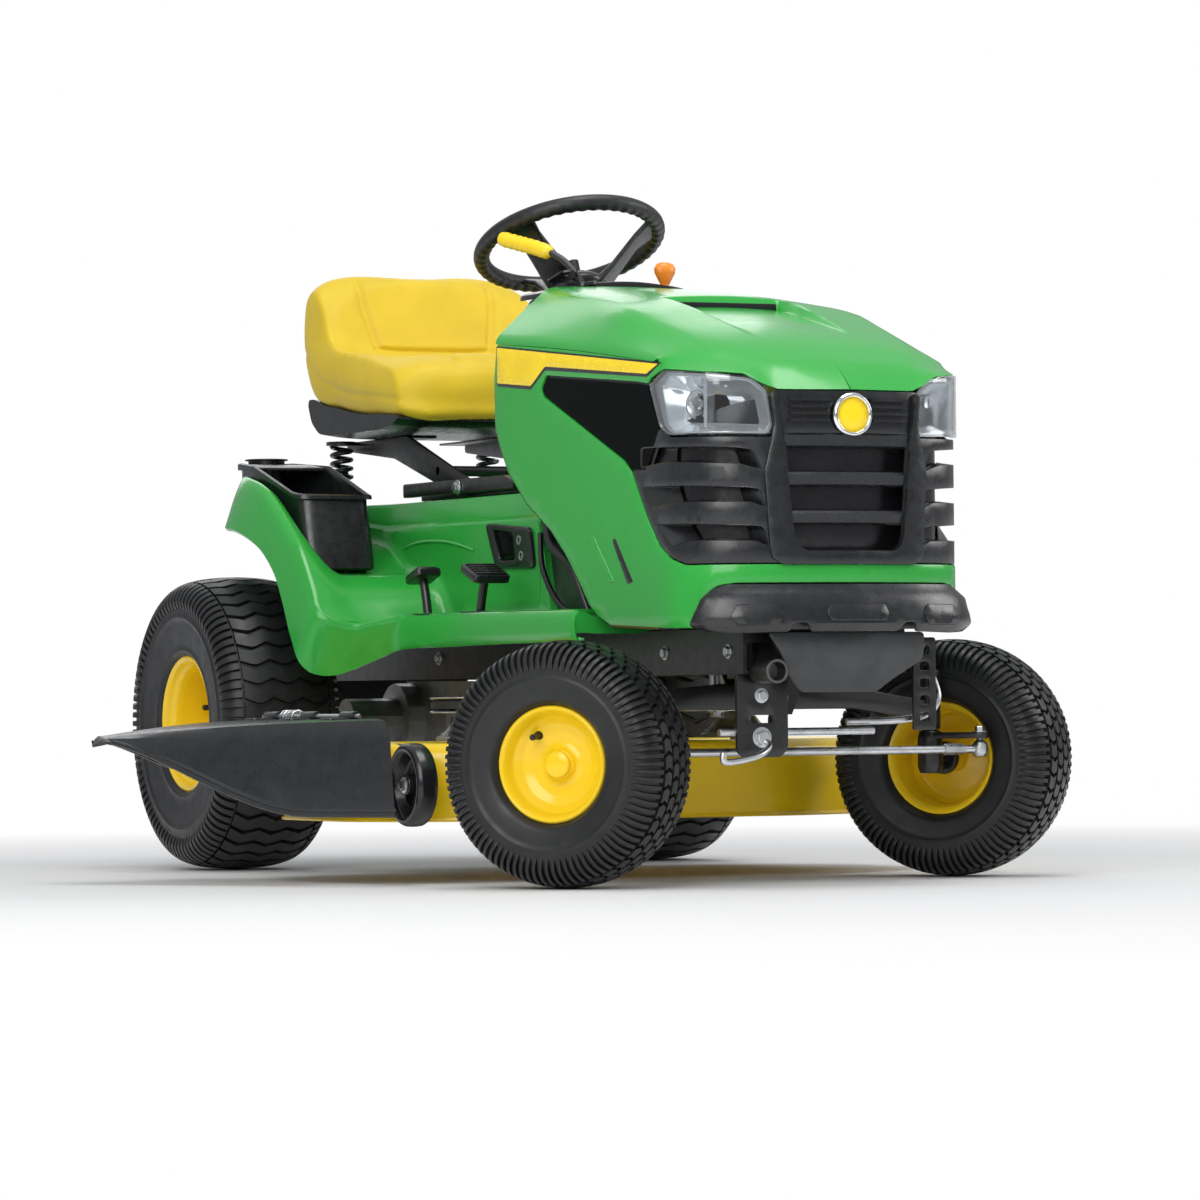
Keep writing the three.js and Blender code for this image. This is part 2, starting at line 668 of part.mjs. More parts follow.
function makeShell() {
  const side = [
    [-292, 798.8], [-270, 764], [-200, 750], [40, 750], [96, 766], [142, 812],
    [164, 900], [152, 900], [148.5, 879], [120.5, 810.5], [61, 791], [-290, 799],
  ];
  return prismX(side, -208, 208);
}
put('seat_shell', blackPlastic, makeShell());

function makeSeatBracket() {
  const armSide = [
    [-386, 643], [-380, 664], [-120, 749], [150, 749],
    [150, 735], [-60, 715], [-340, 637], [-378, 637],
  ];
  const arms = SIDES.map(([, s]) => prismX(armSide, ...ordered(s * 112, s * 118)));
  const deckPlate = box(-118, 118, -120, 150, 745.6, 749.6);
  const crossTube = rod('x', 9, 236, [0, -250, 683]);
  const cups = SIDES.map(([, s]) => rod('z', 26, 8, [s * SPRING_HALF, 118, 745.6]));
  const hole = bore('x', 8, 400, [0, SEAT_HINGE.y, SEAT_HINGE.z]);
  return cut(join(...arms, deckPlate, crossTube, ...cups), hole);
}
put('seat_bracket', blackSteel, makeSeatBracket());

function makeHingePin() {
  const pin = rod('x', 8, 262, [0, SEAT_HINGE.y, SEAT_HINGE.z]);
  const front = SEAT_HINGE.y - 190;
  const rear = SEAT_HINGE.y + 12;
  const base = PEDESTAL_Z + GAP;
  const foot = box(-60, 60, front, rear, base, 640);
  const lugs = [-1, 1].map((s) => box(...ordered(s * 96, s * 108), front, rear, base, 664));
  const tie = box(-108, 108, front, SEAT_HINGE.y - 20, base, 638);
  return join(pin, foot, tie, ...lugs);
}
put('seat_hinge_pin', blackSteel, makeHingePin());

class Helix extends THREE.Curve {
  constructor(radius, low, high, turns) {
    super();
    Object.assign(this, { radius, low, high, turns });
  }

  getPoint(t, target = new THREE.Vector3()) {
    const angle = 2 * Math.PI * this.turns * t;
    const z = this.low + (this.high - this.low) * t;
    return target.set(this.radius * Math.cos(angle), this.radius * Math.sin(angle), z);
  }
}

for (const [name, side] of SIDES) {
  const spring = swept(new Helix(17, PEDESTAL_Z + 8, 736, 4), 3.6, 32, 5);
  const mesh = put(`seat_spring_${name}`, blackSteel, spring);
  mesh.position.set(side * SPRING_HALF, 118, 0);
}

// ---------------------------------------------------------------- controls

function makeSteeringWheel() {
  const rim = new THREE.TorusGeometry(WHEEL_RADIUS, 13, 6, 20);
  rim.rotateX(Math.PI / 2);
  const hub = turned('y', [[0, -62], [34, -62], [44, -30], [38, -22], [0, -20]], [0, 0, 0], 20);
  const spokes = [-1, 1, 0].map((s) => {
    const spoke = new THREE.BoxGeometry(34, 10, 130);
    spoke.rotateX(-0.3);
    spoke.translate(0, -24, 88);
    spoke.rotateY(s === 0 ? Math.PI : s * 62 * DEG);
    return solid(spoke);
  });
  const bore = rod('y', 10, 60, [0, -62, 0]);
  const flat = cut(join(solid(rim), hub, ...spokes), bore);
  return geometryOf(flat).rotateX(Math.PI / 2 - WHEEL_TILT).translate(...WHEEL_CENTRE);
}
put('steering_wheel', blackPlastic, solid(makeSteeringWheel()));

function makeSteeringShaft() {
  const shaft = columnRod(9.5, -420, -34);
  const collar = columnRod(15, -200, -66);
  const lowerFlange = columnRod(34, -424, -412);
  return join(shaft, collar, lowerFlange);
}
put('steering_shaft', blackSteel, makeSteeringShaft());

function makeThrottle() {
  const stem = box(97, 103, -706, -694, 936, 985);
  const knobHalf = [
    [14, -709, 1004], [14, -691, 1004], [8, -707, 978],
    [8, -693, 978], [9, -705, 1011], [9, -695, 1011],
  ];
  const knob = hullOf(bothSides(knobHalf).map(([x, y, z]) => [x + 100, y, z]));
  return join(stem, knob);
}
put('throttle_lever', orangePlastic, makeThrottle());

function makePtoLever() {
  const stem = [
    [-70, -745, 940], [-74, -742, 975], [-92, -718, 1010], [-115, -690, 1030], [-134, -650, 1042],
  ];
  const grip = [[-110, -697, 1026], [-130, -656, 1041], [-154, -604, 1055]];
  return join(bentRod(stem, 6, 10, 8), bentRod(grip, 11, 4, 8));
}
put('pto_lever', yellowPlastic, makePtoLever());

function makeKey() {
  const barrel = rod('y', 8.5, 34, [-85, -552, 850]);
  const bow = box(-98, -72, -536, -516, 848, 852);
  return join(barrel, bow);
}
put('ignition_key', bareSteel, makeKey());

function makeLiftLever() {
  const side = [[-268, 470], [-252, 470], [-262, 640], [-318, 722], [-326, 716], [-280, 634]];
  const bar = prismX(side, 231, 239);
  const grip = bentRod([[235, -318, 712], [235, -334, 738], [235, -346, 762]], 13, 4, 8);
  const shaft = rod('x', 9, 32, [222, -260, 480]);
  return join(bar, grip, shaft);
}
put('lift_lever', blackPlastic, makeLiftLever());

// Foot pedal: a round arm rising from its pivot to a padded plate.
function makePedal(x, pivotY, pad) {
  const pivotAt = [x, pivotY, 400];
  const shaft = rod('x', 8, 30, pivotAt);
  const low = [x, (pivotY * 2 + pad.y) / 3, 440];
  const high = [x, (pivotY + pad.y * 2) / 3, 470];
  const arm = bentRod([pivotAt, low, high, [x, pad.y, pad.z - 4]], 7, 8, 8);
  const plate = new THREE.BoxGeometry(pad.width, pad.length, 16);
  plate.rotateX(pad.tilt);
  plate.translate(x, pad.y, pad.z);
  return join(shaft, arm, solid(plate));
}

const FORWARD_PAD = { y: -728, z: 496, width: 66, length: 62, tilt: 0.35 };
const REVERSE_PAD = { y: -474, z: 498, width: 46, length: 56, tilt: -0.3 };
const BRAKE_PAD = { y: -752, z: 500, width: 80, length: 66, tilt: 0.4 };
put('forward_pedal', blackPlastic, makePedal(-245, -700, FORWARD_PAD));
put('reverse_pedal', blackPlastic, makePedal(-245, -500, REVERSE_PAD));
put('brake_pedal', blackPlastic, makePedal(208, -715, BRAKE_PAD));

// ---------------------------------------------------------------- fuel and battery

function makeTank() {
  const tank = box(-128, 128, -760, -440, 436, 606);
  const neck = bentRod(FILLER_PATH, 19, 14, 10);
  return join(tank, neck);
}
put('fuel_tank', blackPlastic, makeTank());
put('fuel_cap', blackPlastic, cut(
  turned('z', [[0, 0], [28, 0], [28, 30], [24, 36], [0, 36]], [330, -60, 678], 20),
  rod('z', 20, 12, [330, -60, 680]),
));
put('battery', blackPlastic, join(
  box(-90, 90, -250, -125, FRAME.high + 6, 560),
  rod('z', 9, 16, [-60, -150, 566], 10),
  rod('z', 9, 16, [60, -150, 566], 10),
));

// ---------------------------------------------------------------- mower deck

const GAUGE_AXLE = [-1010, 157];

function deckPlan(inset) {
  const half = DECK.half - inset;
  const front = -990 + inset;
  return [
    [-half, -560], [-half, -850], [-478 + inset * 0.5, -932 + inset], [-400, front],
    [180, front], [430 - inset * 0.4, -900 + inset], [half, -770], [half, -540],
    [430 - inset, -398 - inset], [300, -352 - inset], [180, -352 - inset],
    [0, -392 - inset], [-200, -436 - inset], [-430 + inset, -462 - inset],
  ];
}

function makeDeck() {
  const { low, top, wall } = DECK;
  const pan = cut(prismZ(deckPlan(0), low, top), prismZ(deckPlan(wall), low - 10, top - wall));
  const outlet = box(-560, -530, -872, -575, low - 5, 205);
  const shaftHoles = BLADES.map(({ x, y }) => bore('z', 12.5, 40, [x, y, top]));
  const armSide = [
    [-1018, 148], [-1018, 166], [-995, 200], [-900, 221], [-780, 221], [-780, 205], [-1002, 148],
  ];
  const wheelArms = SIDES.map(([, s]) => {
    const arm = prismX(armSide, ...ordered(s * 470, s * 477));
    return join(arm, rod('x', 7, 52, [s * 498, ...GAUGE_AXLE]));
  });
  return cut(join(pan, ...wheelArms), outlet, ...shaftHoles);
}
put('mower_deck', yellowPaint, makeDeck());

for (const { side, x, y } of BLADES) {
  const housing = [[0, 0], [62, 0], [62, 8], [34, 16], [28, 44], [0, 44]];
  const bearing = turned('z', housing, [x, y, DECK.top + GAP]);
  put(`deck_spindle_${side}`, castMetal, cut(bearing, bore('z', 12.5, 120, [x, y, DECK.top + 20])));

  const pulley = turned('z', pulleyProfile(60, 72), [x, y, BELT_Z]);
  const shaft = rod('z', 12.5, 166, [x, y, 211]);
  put(`deck_pulley_${side}`, bareSteel, join(pulley, shaft));

  const bladePlan = [
    [-BLADE_HALF, -26], [BLADE_HALF - 70, -30], [BLADE_HALF, -14],
    [BLADE_HALF, 26], [70 - BLADE_HALF, 30], [-BLADE_HALF, 14],
  ];
  const blade = prismZ(bladePlan, 118, 123);
  const wings = [-1, 1].map((s) => {
    const lift = [[s * 14, 121], [s * 26, 121], [s * 34, 134], [s * 24, 134]];
    return prismX(lift, ...ordered(s * (BLADE_HALF - 80), s * BLADE_HALF));
  });
  const bolt = rod('z', 14, 8, [0, 0, 115], 6);
  const clamp = join(blade, ...wings, bolt);
  const turn = new THREE.Group();
  turn.position.set(x, y, 0);
  turn.rotation.z = side === 'left' ? 0.5 : 1.1;
  machine.add(turn);
  put(`blade_${side}`, bareSteel, cut(clamp, bore('z', 12.5, 12, [0, 0, 133.4])), turn);
}

function makeBelt() {
  const loop = (grow, height) => hullOf([-1, 1].flatMap((s) => [
    ...circlePoints(0, CRANK_Y, BELT_Z + s * height, 50 + grow),
    ...BLADES.flatMap(({ x, y }) => circlePoints(x, y, BELT_Z + s * height, 60 + grow)),
  ]));
  return cut(loop(9, 5), loop(0.9, 8));
}
put('deck_belt', rubber, makeBelt());

// Side-discharge deflector: a sloping hood, open below and towards the deck.
function makeChute() {
  const outer = (t) => {
    const root = CHUTE_HINGE.x - 4 + 3 * t;
    const tip = -880 + 2 * t;
    const tipRear = -874 + 2 * t;
    return hullOf([
      [root, -985 + t, 262 - t], [root, -500 - t, 262 - t], [-700, -905 + t, 252 - t],
      [tip, -650 + t, 236 - t], [tipRear, -560 - t, 234 - t],
      [tip, -650 + t, 222 - 9 * t], [tipRear, -560 - t, 222 - 9 * t],
      [root, -1000 + t, 108 - 4 * t], [root, -500 - t, 108 - 4 * t],
      [-640, -955 + t, 104 - 4 * t], [-640, -520 - t, 108 - 4 * t],
    ]);
  };
  const body = cut(outer(0), outer(4));
  const sleeve = rod('y', 8, 120, [CHUTE_HINGE.x - 6, -740, CHUTE_HINGE.z + 2], 10);
  return join(body, sleeve);
}
put('discharge_chute', blackPlastic, makeChute());

for (const [name, side] of SIDES) {
  const section = [
    [7.6, -19], [52, -18], [63, -12], [66, -5], [66, 5], [63, 12], [52, 18], [7.6, 19],
  ];
  const wheel = turned('x', section, [side * 500, ...GAUGE_AXLE]);
  put(`gauge_wheel_${name}`, blackPlastic, wheel);
}

// Bracket under the frame's nose that carries the front of the mower deck.
function makeHanger() {
  const face = [[-142, 324], [-142, 206], [-128, 198], [-66, 198], [-54, 210], [-54, 324]];
  const plate = prismY(face, -1430, -1424);
  const flange = box(-142, -54, -1424.5, -1396, 318, 324.6);
  const crossRod = rod('x', 6, 250, [-30, -1420, 236], 10);
  const hookPath = [
    [-98, -1424, 226], [-98, -1450, 214], [-130, -1470, 200], [-185, -1474, 192], [-186, -1474, 206],
  ];
  const hook = bentRod(hookPath, 5, 10, 8);
  return join(plate, flange, crossRod, hook);
}
put('deck_hanger', blackSteel, makeHanger());

const group = new THREE.Group();
group.add(machine);
group.updateMatrixWorld(true);
export default group;
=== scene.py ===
"""Visual model of a riding lawn mower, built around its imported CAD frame.

Shapes are written in millimetres from the ground under the rear axle, with +Z up, -Y forward
and +X the operator's left; spot() turns them into metres in the row frame.
"""
import json
import math

import bmesh
import bpy
from mathutils import Matrix, Vector
from mathutils.geometry import delaunay_2d_cdt


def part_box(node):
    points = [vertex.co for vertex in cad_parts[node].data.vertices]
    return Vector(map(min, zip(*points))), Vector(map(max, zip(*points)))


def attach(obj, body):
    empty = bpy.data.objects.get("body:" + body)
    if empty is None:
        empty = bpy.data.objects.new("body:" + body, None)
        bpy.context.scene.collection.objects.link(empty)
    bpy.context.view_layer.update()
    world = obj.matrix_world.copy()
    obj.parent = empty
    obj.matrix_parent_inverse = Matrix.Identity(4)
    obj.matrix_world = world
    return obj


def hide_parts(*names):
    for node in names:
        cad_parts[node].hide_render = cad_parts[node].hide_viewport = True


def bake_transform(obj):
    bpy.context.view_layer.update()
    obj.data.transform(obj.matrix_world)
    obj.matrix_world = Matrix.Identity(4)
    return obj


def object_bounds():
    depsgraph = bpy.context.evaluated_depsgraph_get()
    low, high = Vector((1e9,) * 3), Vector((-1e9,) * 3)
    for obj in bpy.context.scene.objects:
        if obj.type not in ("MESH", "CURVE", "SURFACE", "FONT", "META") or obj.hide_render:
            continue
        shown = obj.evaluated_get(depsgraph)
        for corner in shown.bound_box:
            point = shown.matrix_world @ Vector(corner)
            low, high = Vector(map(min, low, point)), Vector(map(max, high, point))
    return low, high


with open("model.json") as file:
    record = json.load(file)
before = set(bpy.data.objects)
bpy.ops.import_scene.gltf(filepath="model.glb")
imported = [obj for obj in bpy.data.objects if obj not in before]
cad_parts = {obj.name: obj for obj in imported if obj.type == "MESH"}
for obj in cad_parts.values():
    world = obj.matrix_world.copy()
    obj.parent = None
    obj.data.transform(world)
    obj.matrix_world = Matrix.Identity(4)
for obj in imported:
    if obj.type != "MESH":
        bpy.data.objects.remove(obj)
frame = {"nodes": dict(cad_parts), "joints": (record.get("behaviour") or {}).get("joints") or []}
cad_low, cad_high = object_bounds()

MM = 0.001
JOINTS = {joint["name"]: joint for joint in frame["joints"]}
REAR_AXLE = Vector(JOINTS["rear_left_spin"]["pos_m"])
DATUM = Vector((0, REAR_AXLE.y, cad_low.z))
SIDES = (("left", 1), ("right", -1))


# ---------------------------------------------------------------- places from the frame

def spot(point):
    """A point in millimetres from the datum, as metres in the row frame."""
    return DATUM + Vector(point) * MM


def pivot(joint):
    """Where a joint turns, in millimetres from the datum."""
    return (Vector(JOINTS[joint]["pos_m"]) - DATUM) / MM


def turn_axis(joint):
    return Vector(JOINTS[joint]["axis"]).normalized()


def box_of(node):
    """Lowest and highest corner of a CAD node, in millimetres from the datum."""
    low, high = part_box(node)
    return (low - DATUM) / MM, (high - DATUM) / MM


# ---------------------------------------------------------------- outlines

def lerp(a, b, t):
    return a + (b - a) * t


def smoothstep(a, b, x):
    t = min(1.0, max(0.0, (x - a) / (b - a)))
    return t * t * (3 - 2 * t)


def spline(points, steps=8, closed=False):
    """Points on a smooth curve through the given points."""
    known = [Vector(p) for p in points]
    count = len(known)
    pick = (lambda i: known[i % count]) if closed else (lambda i: known[min(max(i, 0), count - 1)])
    curve = []
    for i in range(count if closed else count - 1):
        p0, p1, p2, p3 = (pick(i + k) for k in (-1, 0, 1, 2))
        for k in range(steps):
            t = k / steps
            pull = (p2 - p0) * t + (p0 * 2 - p1 * 5 + p2 * 4 - p3) * t ** 2
            pull += (p1 * 3 - p0 - p2 * 3 + p3) * t ** 3
            curve.append(p1 + pull * 0.5)
    if not closed:
        curve.append(known[-1])
    return curve


def bend(a, corner, b, shares):
    """Points, at shares of the way, on the curve from a to b that its corner pulls outwards."""
    return [a * (1 - t) ** 2 + corner * 2 * t * (1 - t) + b * t ** 2 for t in shares]


def rounded(points, radius, steps=4, closed=True):
    """The outline with its corners replaced by curves that start radius before each corner."""
    known = [Vector(p) for p in points]
    count = len(known)
    out = []
    for i, corner in enumerate(known):
        if not closed and i in (0, count - 1):
            out.append(corner)
            continue
        back = known[i - 1] - corner
        ahead = known[(i + 1) % count] - corner
        reach = min(radius, back.length * 0.48, ahead.length * 0.48)
        start = corner + back.normalized() * reach
        end = corner + ahead.normalized() * reach
        out += bend(start, corner, end, [k / steps for k in range(steps + 1)])
    return out


def divided(points, step, closed=True):
    """The outline with long edges split, so that it can follow a curved surface."""
    out = []
    count = len(points)
    for i in range(count if closed else count - 1):
        a, b = Vector(points[i]), Vector(points[(i + 1) % count])
        pieces = max(1, math.ceil((b - a).length / step))
        out.extend(a.lerp(b, k / pieces) for k in range(pieces))
    if not closed:
        out.append(Vector(points[-1]))
    return out


def area_of(loop):
    pairs = zip(loop, loop[1:] + loop[:1])
    return sum(a.x * b.y - b.x * a.y for a, b in pairs) / 2


def counterclockwise(loop):
    loop = [Vector(p) for p in loop]
    return loop if area_of(loop) > 0 else loop[::-1]


def grown(loop, distance):
    """A counterclockwise outline moved outwards by a distance."""
    out = []
    for i, point in enumerate(loop):
        back = (point - loop[i - 1]).normalized()
        ahead = (loop[(i + 1) % len(loop)] - point).normalized()
        side = Vector((back.y + ahead.y, -back.x - ahead.x))
        if side.length < 1e-6:
            side = Vector((back.y, -back.x))
        side.normalize()
        slant = max(0.5, side.dot(Vector((back.y, -back.x))))
        out.append(point + side * (distance / slant))
    return out


def inside(loop, x, y):
    hit = False
    for a, b in zip(loop, loop[1:] + loop[:1]):
        if (a.y > y) != (b.y > y) and x < (b.x - a.x) * (y - a.y) / (b.y - a.y) + a.x:
            hit = not hit
    return hit


def circle(radius, sides=24, centre=(0, 0)):
    turn = 2 * math.pi / sides
    return [Vector((centre[0] + radius * math.cos(turn * i), centre[1] + radius * math.sin(turn * i)))
            for i in range(sides)]


def rectangle(x0, x1, y0, y1, radius=0, steps=3):
    corners = [(x0, y0), (x1, y0), (x1, y1), (x0, y1)]
    return rounded(corners, radius, steps) if radius else corners


# ---------------------------------------------------------------- shapes: (points, faces)

def merge(*shapes):
    points, faces = [], []
    for shape_points, shape_faces in shapes:
        base = len(points)
        points.extend(shape_points)
        faces.extend([tuple(i + base for i in face) for face in shape_faces])
    return points, faces


def moved(shape, matrix):
    return [matrix @ Vector(p) for p in shape[0]], shape[1]


def mirrored(shape):
    return [Vector((-p[0], p[1], p[2])) for p in shape[0]], [face[::-1] for face in shape[1]]


def both(shape):
    return merge(shape, mirrored(shape))


def loft(rings, closed=True, caps=True, joined=False):
    """Quads between successive rings of points; caps close the ends, joined links last to first."""
    count = len(rings[0])
    points = [Vector(p) for ring in rings for p in ring]
    faces = []
    spans = count if closed else count - 1
    for j in range(len(rings) if joined else len(rings) - 1):
        here, there = j * count, (j + 1) % len(rings) * count
        for i in range(spans):
            k = (i + 1) % count
            faces.append((here + i, here + k, there + k, there + i))
    if caps and closed and not joined:
        faces.append(tuple(range(count))[::-1])
        faces.append(tuple(range(len(points) - count, len(points))))
    return points, faces


def across(axis):
    """Two unit vectors square to an axis."""
    axis = Vector(axis).normalized()
    upright = Vector((0, 0, 1)) if abs(axis.z) < 0.9 else Vector((0, 1, 0))
    first = (upright - axis * upright.dot(axis)).normalized()
    return first, axis.cross(first)


def lathe(profile, centre, axis, sides=96, joined=False):
    """A profile of (radius, distance along the axis) turned about the axis."""
    axis, centre = Vector(axis).normalized(), Vector(centre)
    first, second = across(axis)
    rings = []
    for i in range(sides):
        angle = 2 * math.pi * i / sides
        out = first * math.cos(angle) + second * math.sin(angle)
        rings.append([centre + out * r + axis * t for r, t in profile])
    return loft(rings, closed=joined, caps=False, joined=True)


def turned(profile, centre, axis, radius=1.5, sides=48):
    """A solid of revolution with eased corners; the profile starts and ends on the axis."""
    return lathe(rounded(profile, radius, 3, closed=False), centre, axis, sides)


def hollow(profile, centre, axis, radius=1.2, sides=72):
    """A ring of revolution from a closed profile, with eased corners."""
    return lathe(rounded(profile, radius, 3), centre, axis, sides, joined=True)


FACING = {
    "x": lambda a, b, d: Vector((d, a, b)),
    "y": lambda a, b, d: Vector((a, d, b)),
    "z": lambda a, b, d: Vector((a, b, d)),
}


def level(axis, place, way=1):
    """A flat surface square to an axis, for panel(); way is -1 where it faces along the axis."""
    return lambda a, b, depth: FACING[axis](a, b, place + way * depth)


def slab(outline, low, high, axis, edge=1.5):
    """A plate over an outline, from low to high along an axis, with eased edges."""
    loop = counterclockwise(outline)
    place = FACING[axis]
    edge = min(edge, (high - low) * 0.45)
    steps = [(-edge, low), (-edge * 0.3, low + edge * 0.3), (0, low + edge),
             (0, high - edge), (-edge * 0.3, high - edge * 0.3), (-edge, high)]
    rings = [[place(p.x, p.y, depth) for p in grown(loop, shift)] for shift, depth in steps]
    return loft(rings)


def plate(points, radius, low, high, axis, edge=1.5, steps=3):
    """A slab over an outline whose corners are rounded."""
    return slab(rounded(points, radius, steps), low, high, axis, edge)


def path_frames(path, closed=False):
    """A direction and two cross vectors at each point of a path, with no sudden twist."""
    count = len(path)
    frames, side = [], None
    for i, point in enumerate(path):
        ahead = path[(i + 1) % count] if closed or i < count - 1 else point
        behind = path[i - 1] if closed or i > 0 else point
        along = (ahead - behind).normalized()
        if side is None:
            side = across(along)[0]
        side = (side - along * side.dot(along)).normalized()
        frames.append((along, side, along.cross(side)))
    return frames


def sweep(section, path, closed=False, scale=None):
    """A section of (a, b) points carried along a path; scale gives its size at each point."""
    path = [Vector(p) for p in path]
    rings = []
    for i, (_, side, up) in enumerate(path_frames(path, closed)):
        size = scale[i] if scale else 1
        rings.append([path[i] + side * (a * size) + up * (b * size) for a, b in section])
    return loft(rings, joined=closed)


def tube(path, radius, sides=14, closed=False, scale=None):
    return sweep(circle(radius, sides), path, closed, scale)


def bar(start, end, radius, sides=14):
    """A straight round bar with eased ends."""
    start, end = Vector(start), Vector(end)
    ease = min(radius * 0.2, 1.2)
    length = (end - start).length
    profile = [(0, 0), (radius, 0), (radius, length), (0, length)]
    return turned(profile, start, end - start, ease, sides)


def bolt(centre, axis, size, length=None):
    """A hexagon head with a chamfered top, standing on a washer."""
    axis = Vector(axis).normalized()
    first, second = across(axis)
    centre = Vector(centre)
    height = length or size * 0.7
    rings = []
    for radius, depth in ((size, 0), (size, height * 0.85), (size * 0.86, height)):
        ring = []
        for i in range(6):
            angle = math.pi / 3 * i
            ring.append(centre + (first * math.cos(angle) + second * math.sin(angle)) * radius
                        + axis * (depth + size * 0.16))
        rings.append(ring)
    washer = [(0, 0), (size * 1.45, 0), (size * 1.45, size * 0.16), (0, size * 0.16)]
    return merge(loft(rings), turned(washer, centre, axis, 0.3, 28))


def panel(outline, surface, holes=(), thickness=3, edge=1.2, spacing=14):
    """A sheet over an outline in (a, b), bent onto surface(a, b, depth), with rolled edges."""
    outer = counterclockwise(divided(counterclockwise(outline), spacing))
    inner = [counterclockwise(divided(counterclockwise(h), spacing)) for h in holes]
    fronts = [grown(outer, -edge)] + [grown(h, edge) for h in inner]
    flat, edges = [], []
    for loop in fronts:
        base, count = len(flat), len(loop)
        flat.extend(loop)
        edges.extend((base + i, base + (i + 1) % count) for i in range(count))
    flat.extend(grid_inside(fronts, flat, spacing))
    result = delaunay_2d_cdt(flat, edges, [], 1, 1e-5)
    spots, triangles, sources = result[0], result[2], result[3]
    sheet = [t for t in triangles if is_sheet(t, spots, fronts)]
    number = {source: i for i, group in enumerate(sources) for source in group}
    top = [surface(p.x, p.y, 0) for p in spots]
    bottom = [surface(p.x, p.y, thickness) for p in spots]
    points, faces = top + bottom, [tuple(t) for t in sheet]
    faces += [tuple(i + len(top) for i in reversed(t)) for t in sheet]
    base = 0
    for loop, front in zip([outer] + inner, fronts):
        outwards = 1 if loop is outer else -1
        first = [number[base + i] for i in range(len(front))]
        base += len(front)
        rings = [first]
        ease = ((-edge * 0.3, edge * 0.3), (0, edge), (0, thickness))
        for shift, depth in ease:
            ring = grown(loop, shift * outwards)
            rings.append(list(range(len(points), len(points) + len(ring))))
            points.extend(surface(p.x, p.y, depth) for p in ring)
        rings.append([i + len(top) for i in first])
        for a, b in zip(rings, rings[1:]):
            count = len(a)
            faces.extend((a[i], a[(i + 1) % count], b[(i + 1) % count], b[i]) for i in range(count))
    return points, faces


def grid_inside(loops, border, spacing):
    """Evenly spaced points inside the first loop and outside the others, clear of the border."""
    xs, ys = [p.x for p in loops[0]], [p.y for p in loops[0]]
    found = []
    for i in range(1, math.ceil((max(xs) - min(xs)) / spacing)):
        for j in range(1, math.ceil((max(ys) - min(ys)) / spacing)):
            x = min(xs) + (i + 0.5 * (j % 2)) * spacing
            y = min(ys) + j * spacing
            if not inside(loops[0], x, y) or any(inside(h, x, y) for h in loops[1:]):
                continue
            if min((p.x - x) ** 2 + (p.y - y) ** 2 for p in border) > (spacing * 0.45) ** 2:
                found.append(Vector((x, y)))
    return found


def is_sheet(triangle, spots, loops):
    centre = sum((spots[i] for i in triangle), Vector((0, 0))) / 3
    if not inside(loops[0], centre.x, centre.y):
        return False
    return not any(inside(h, centre.x, centre.y) for h in loops[1:])


def thicken(shell, skin):
    """Gives an open sheet that faces up its thickness, downwards."""
    upward = sum(face.normal.z * face.calc_area() for face in shell.faces)
    if upward < 0:
        bmesh.ops.reverse_faces(shell, faces=shell.faces)
    shell.normal_update()
    sheet = list(shell.faces)
    under = {v: shell.verts.new(v.co - v.normal * skin) for v in list(shell.verts)}
    border = [(loop.vert, loop.link_loop_next.vert) for face in sheet for loop in face.loops
              if loop.edge.is_boundary]
    for face in sheet:
        shell.faces.new([under[v] for v in reversed(face.verts)])
    for a, b in border:
        shell.faces.new((b, a, under[a], under[b]))
    bmesh.ops.recalc_face_normals(shell, faces=shell.faces)


def placed(name, data):
    """A new object for a mesh, lamp or camera, in the scene."""
    made = bpy.data.objects.new(name, data)
    bpy.context.scene.collection.objects.link(made)
    return made


def solid(name, shape, material, body="chassis", replaces=(), smooth=32, skin=0):
    """A piece from a shape: metres, outward faces, smooth shading below an angle, riding on a body.

    An open sheet is given thickness inwards by skin millimetres.
    """
    mesh = bpy.data.meshes.new(name)
    mesh.from_pydata([spot(p) for p in shape[0]], [], shape[1])
    shell = bmesh.new()
    shell.from_mesh(mesh)
    bmesh.ops.remove_doubles(shell, verts=shell.verts, dist=1e-5 if skin else 1e-6)
    bmesh.ops.dissolve_degenerate(shell, dist=1e-6, edges=shell.edges)
    bmesh.ops.recalc_face_normals(shell, faces=shell.faces)
    if skin:
        thicken(shell, skin * MM)
    shell.to_mesh(mesh)
    shell.free()
    mesh.shade_smooth()
    mesh.set_sharp_from_angle(angle=math.radians(smooth))
    mesh.materials.append(material)
    piece = placed(name, mesh)
    if body:
        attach(piece, body)
    if replaces:
        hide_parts(*replaces)
    return piece


# ---------------------------------------------------------------- materials

def add(tree, kind, inputs=(), **settings):
    """A shader node with its settings and inputs; an input value that is a socket is linked."""
    made = tree.nodes.new(kind)
    for key, value in settings.items():
        setattr(made, key, value)
    for key, value in dict(inputs).items():
        if isinstance(value, bpy.types.NodeSocket):
            tree.links.new(value, made.inputs[key])
        else:
            made.inputs[key].default_value = value
    return made


def ramp(tree, source, low, high, start=0.0, end=1.0):
    """Maps a value from start..end to low..high."""
    mapped = add(tree, "ShaderNodeMapRange", {
        "Value": source, "From Min": start, "From Max": end, "To Min": low, "To Max": high})
    return mapped.outputs["Result"]


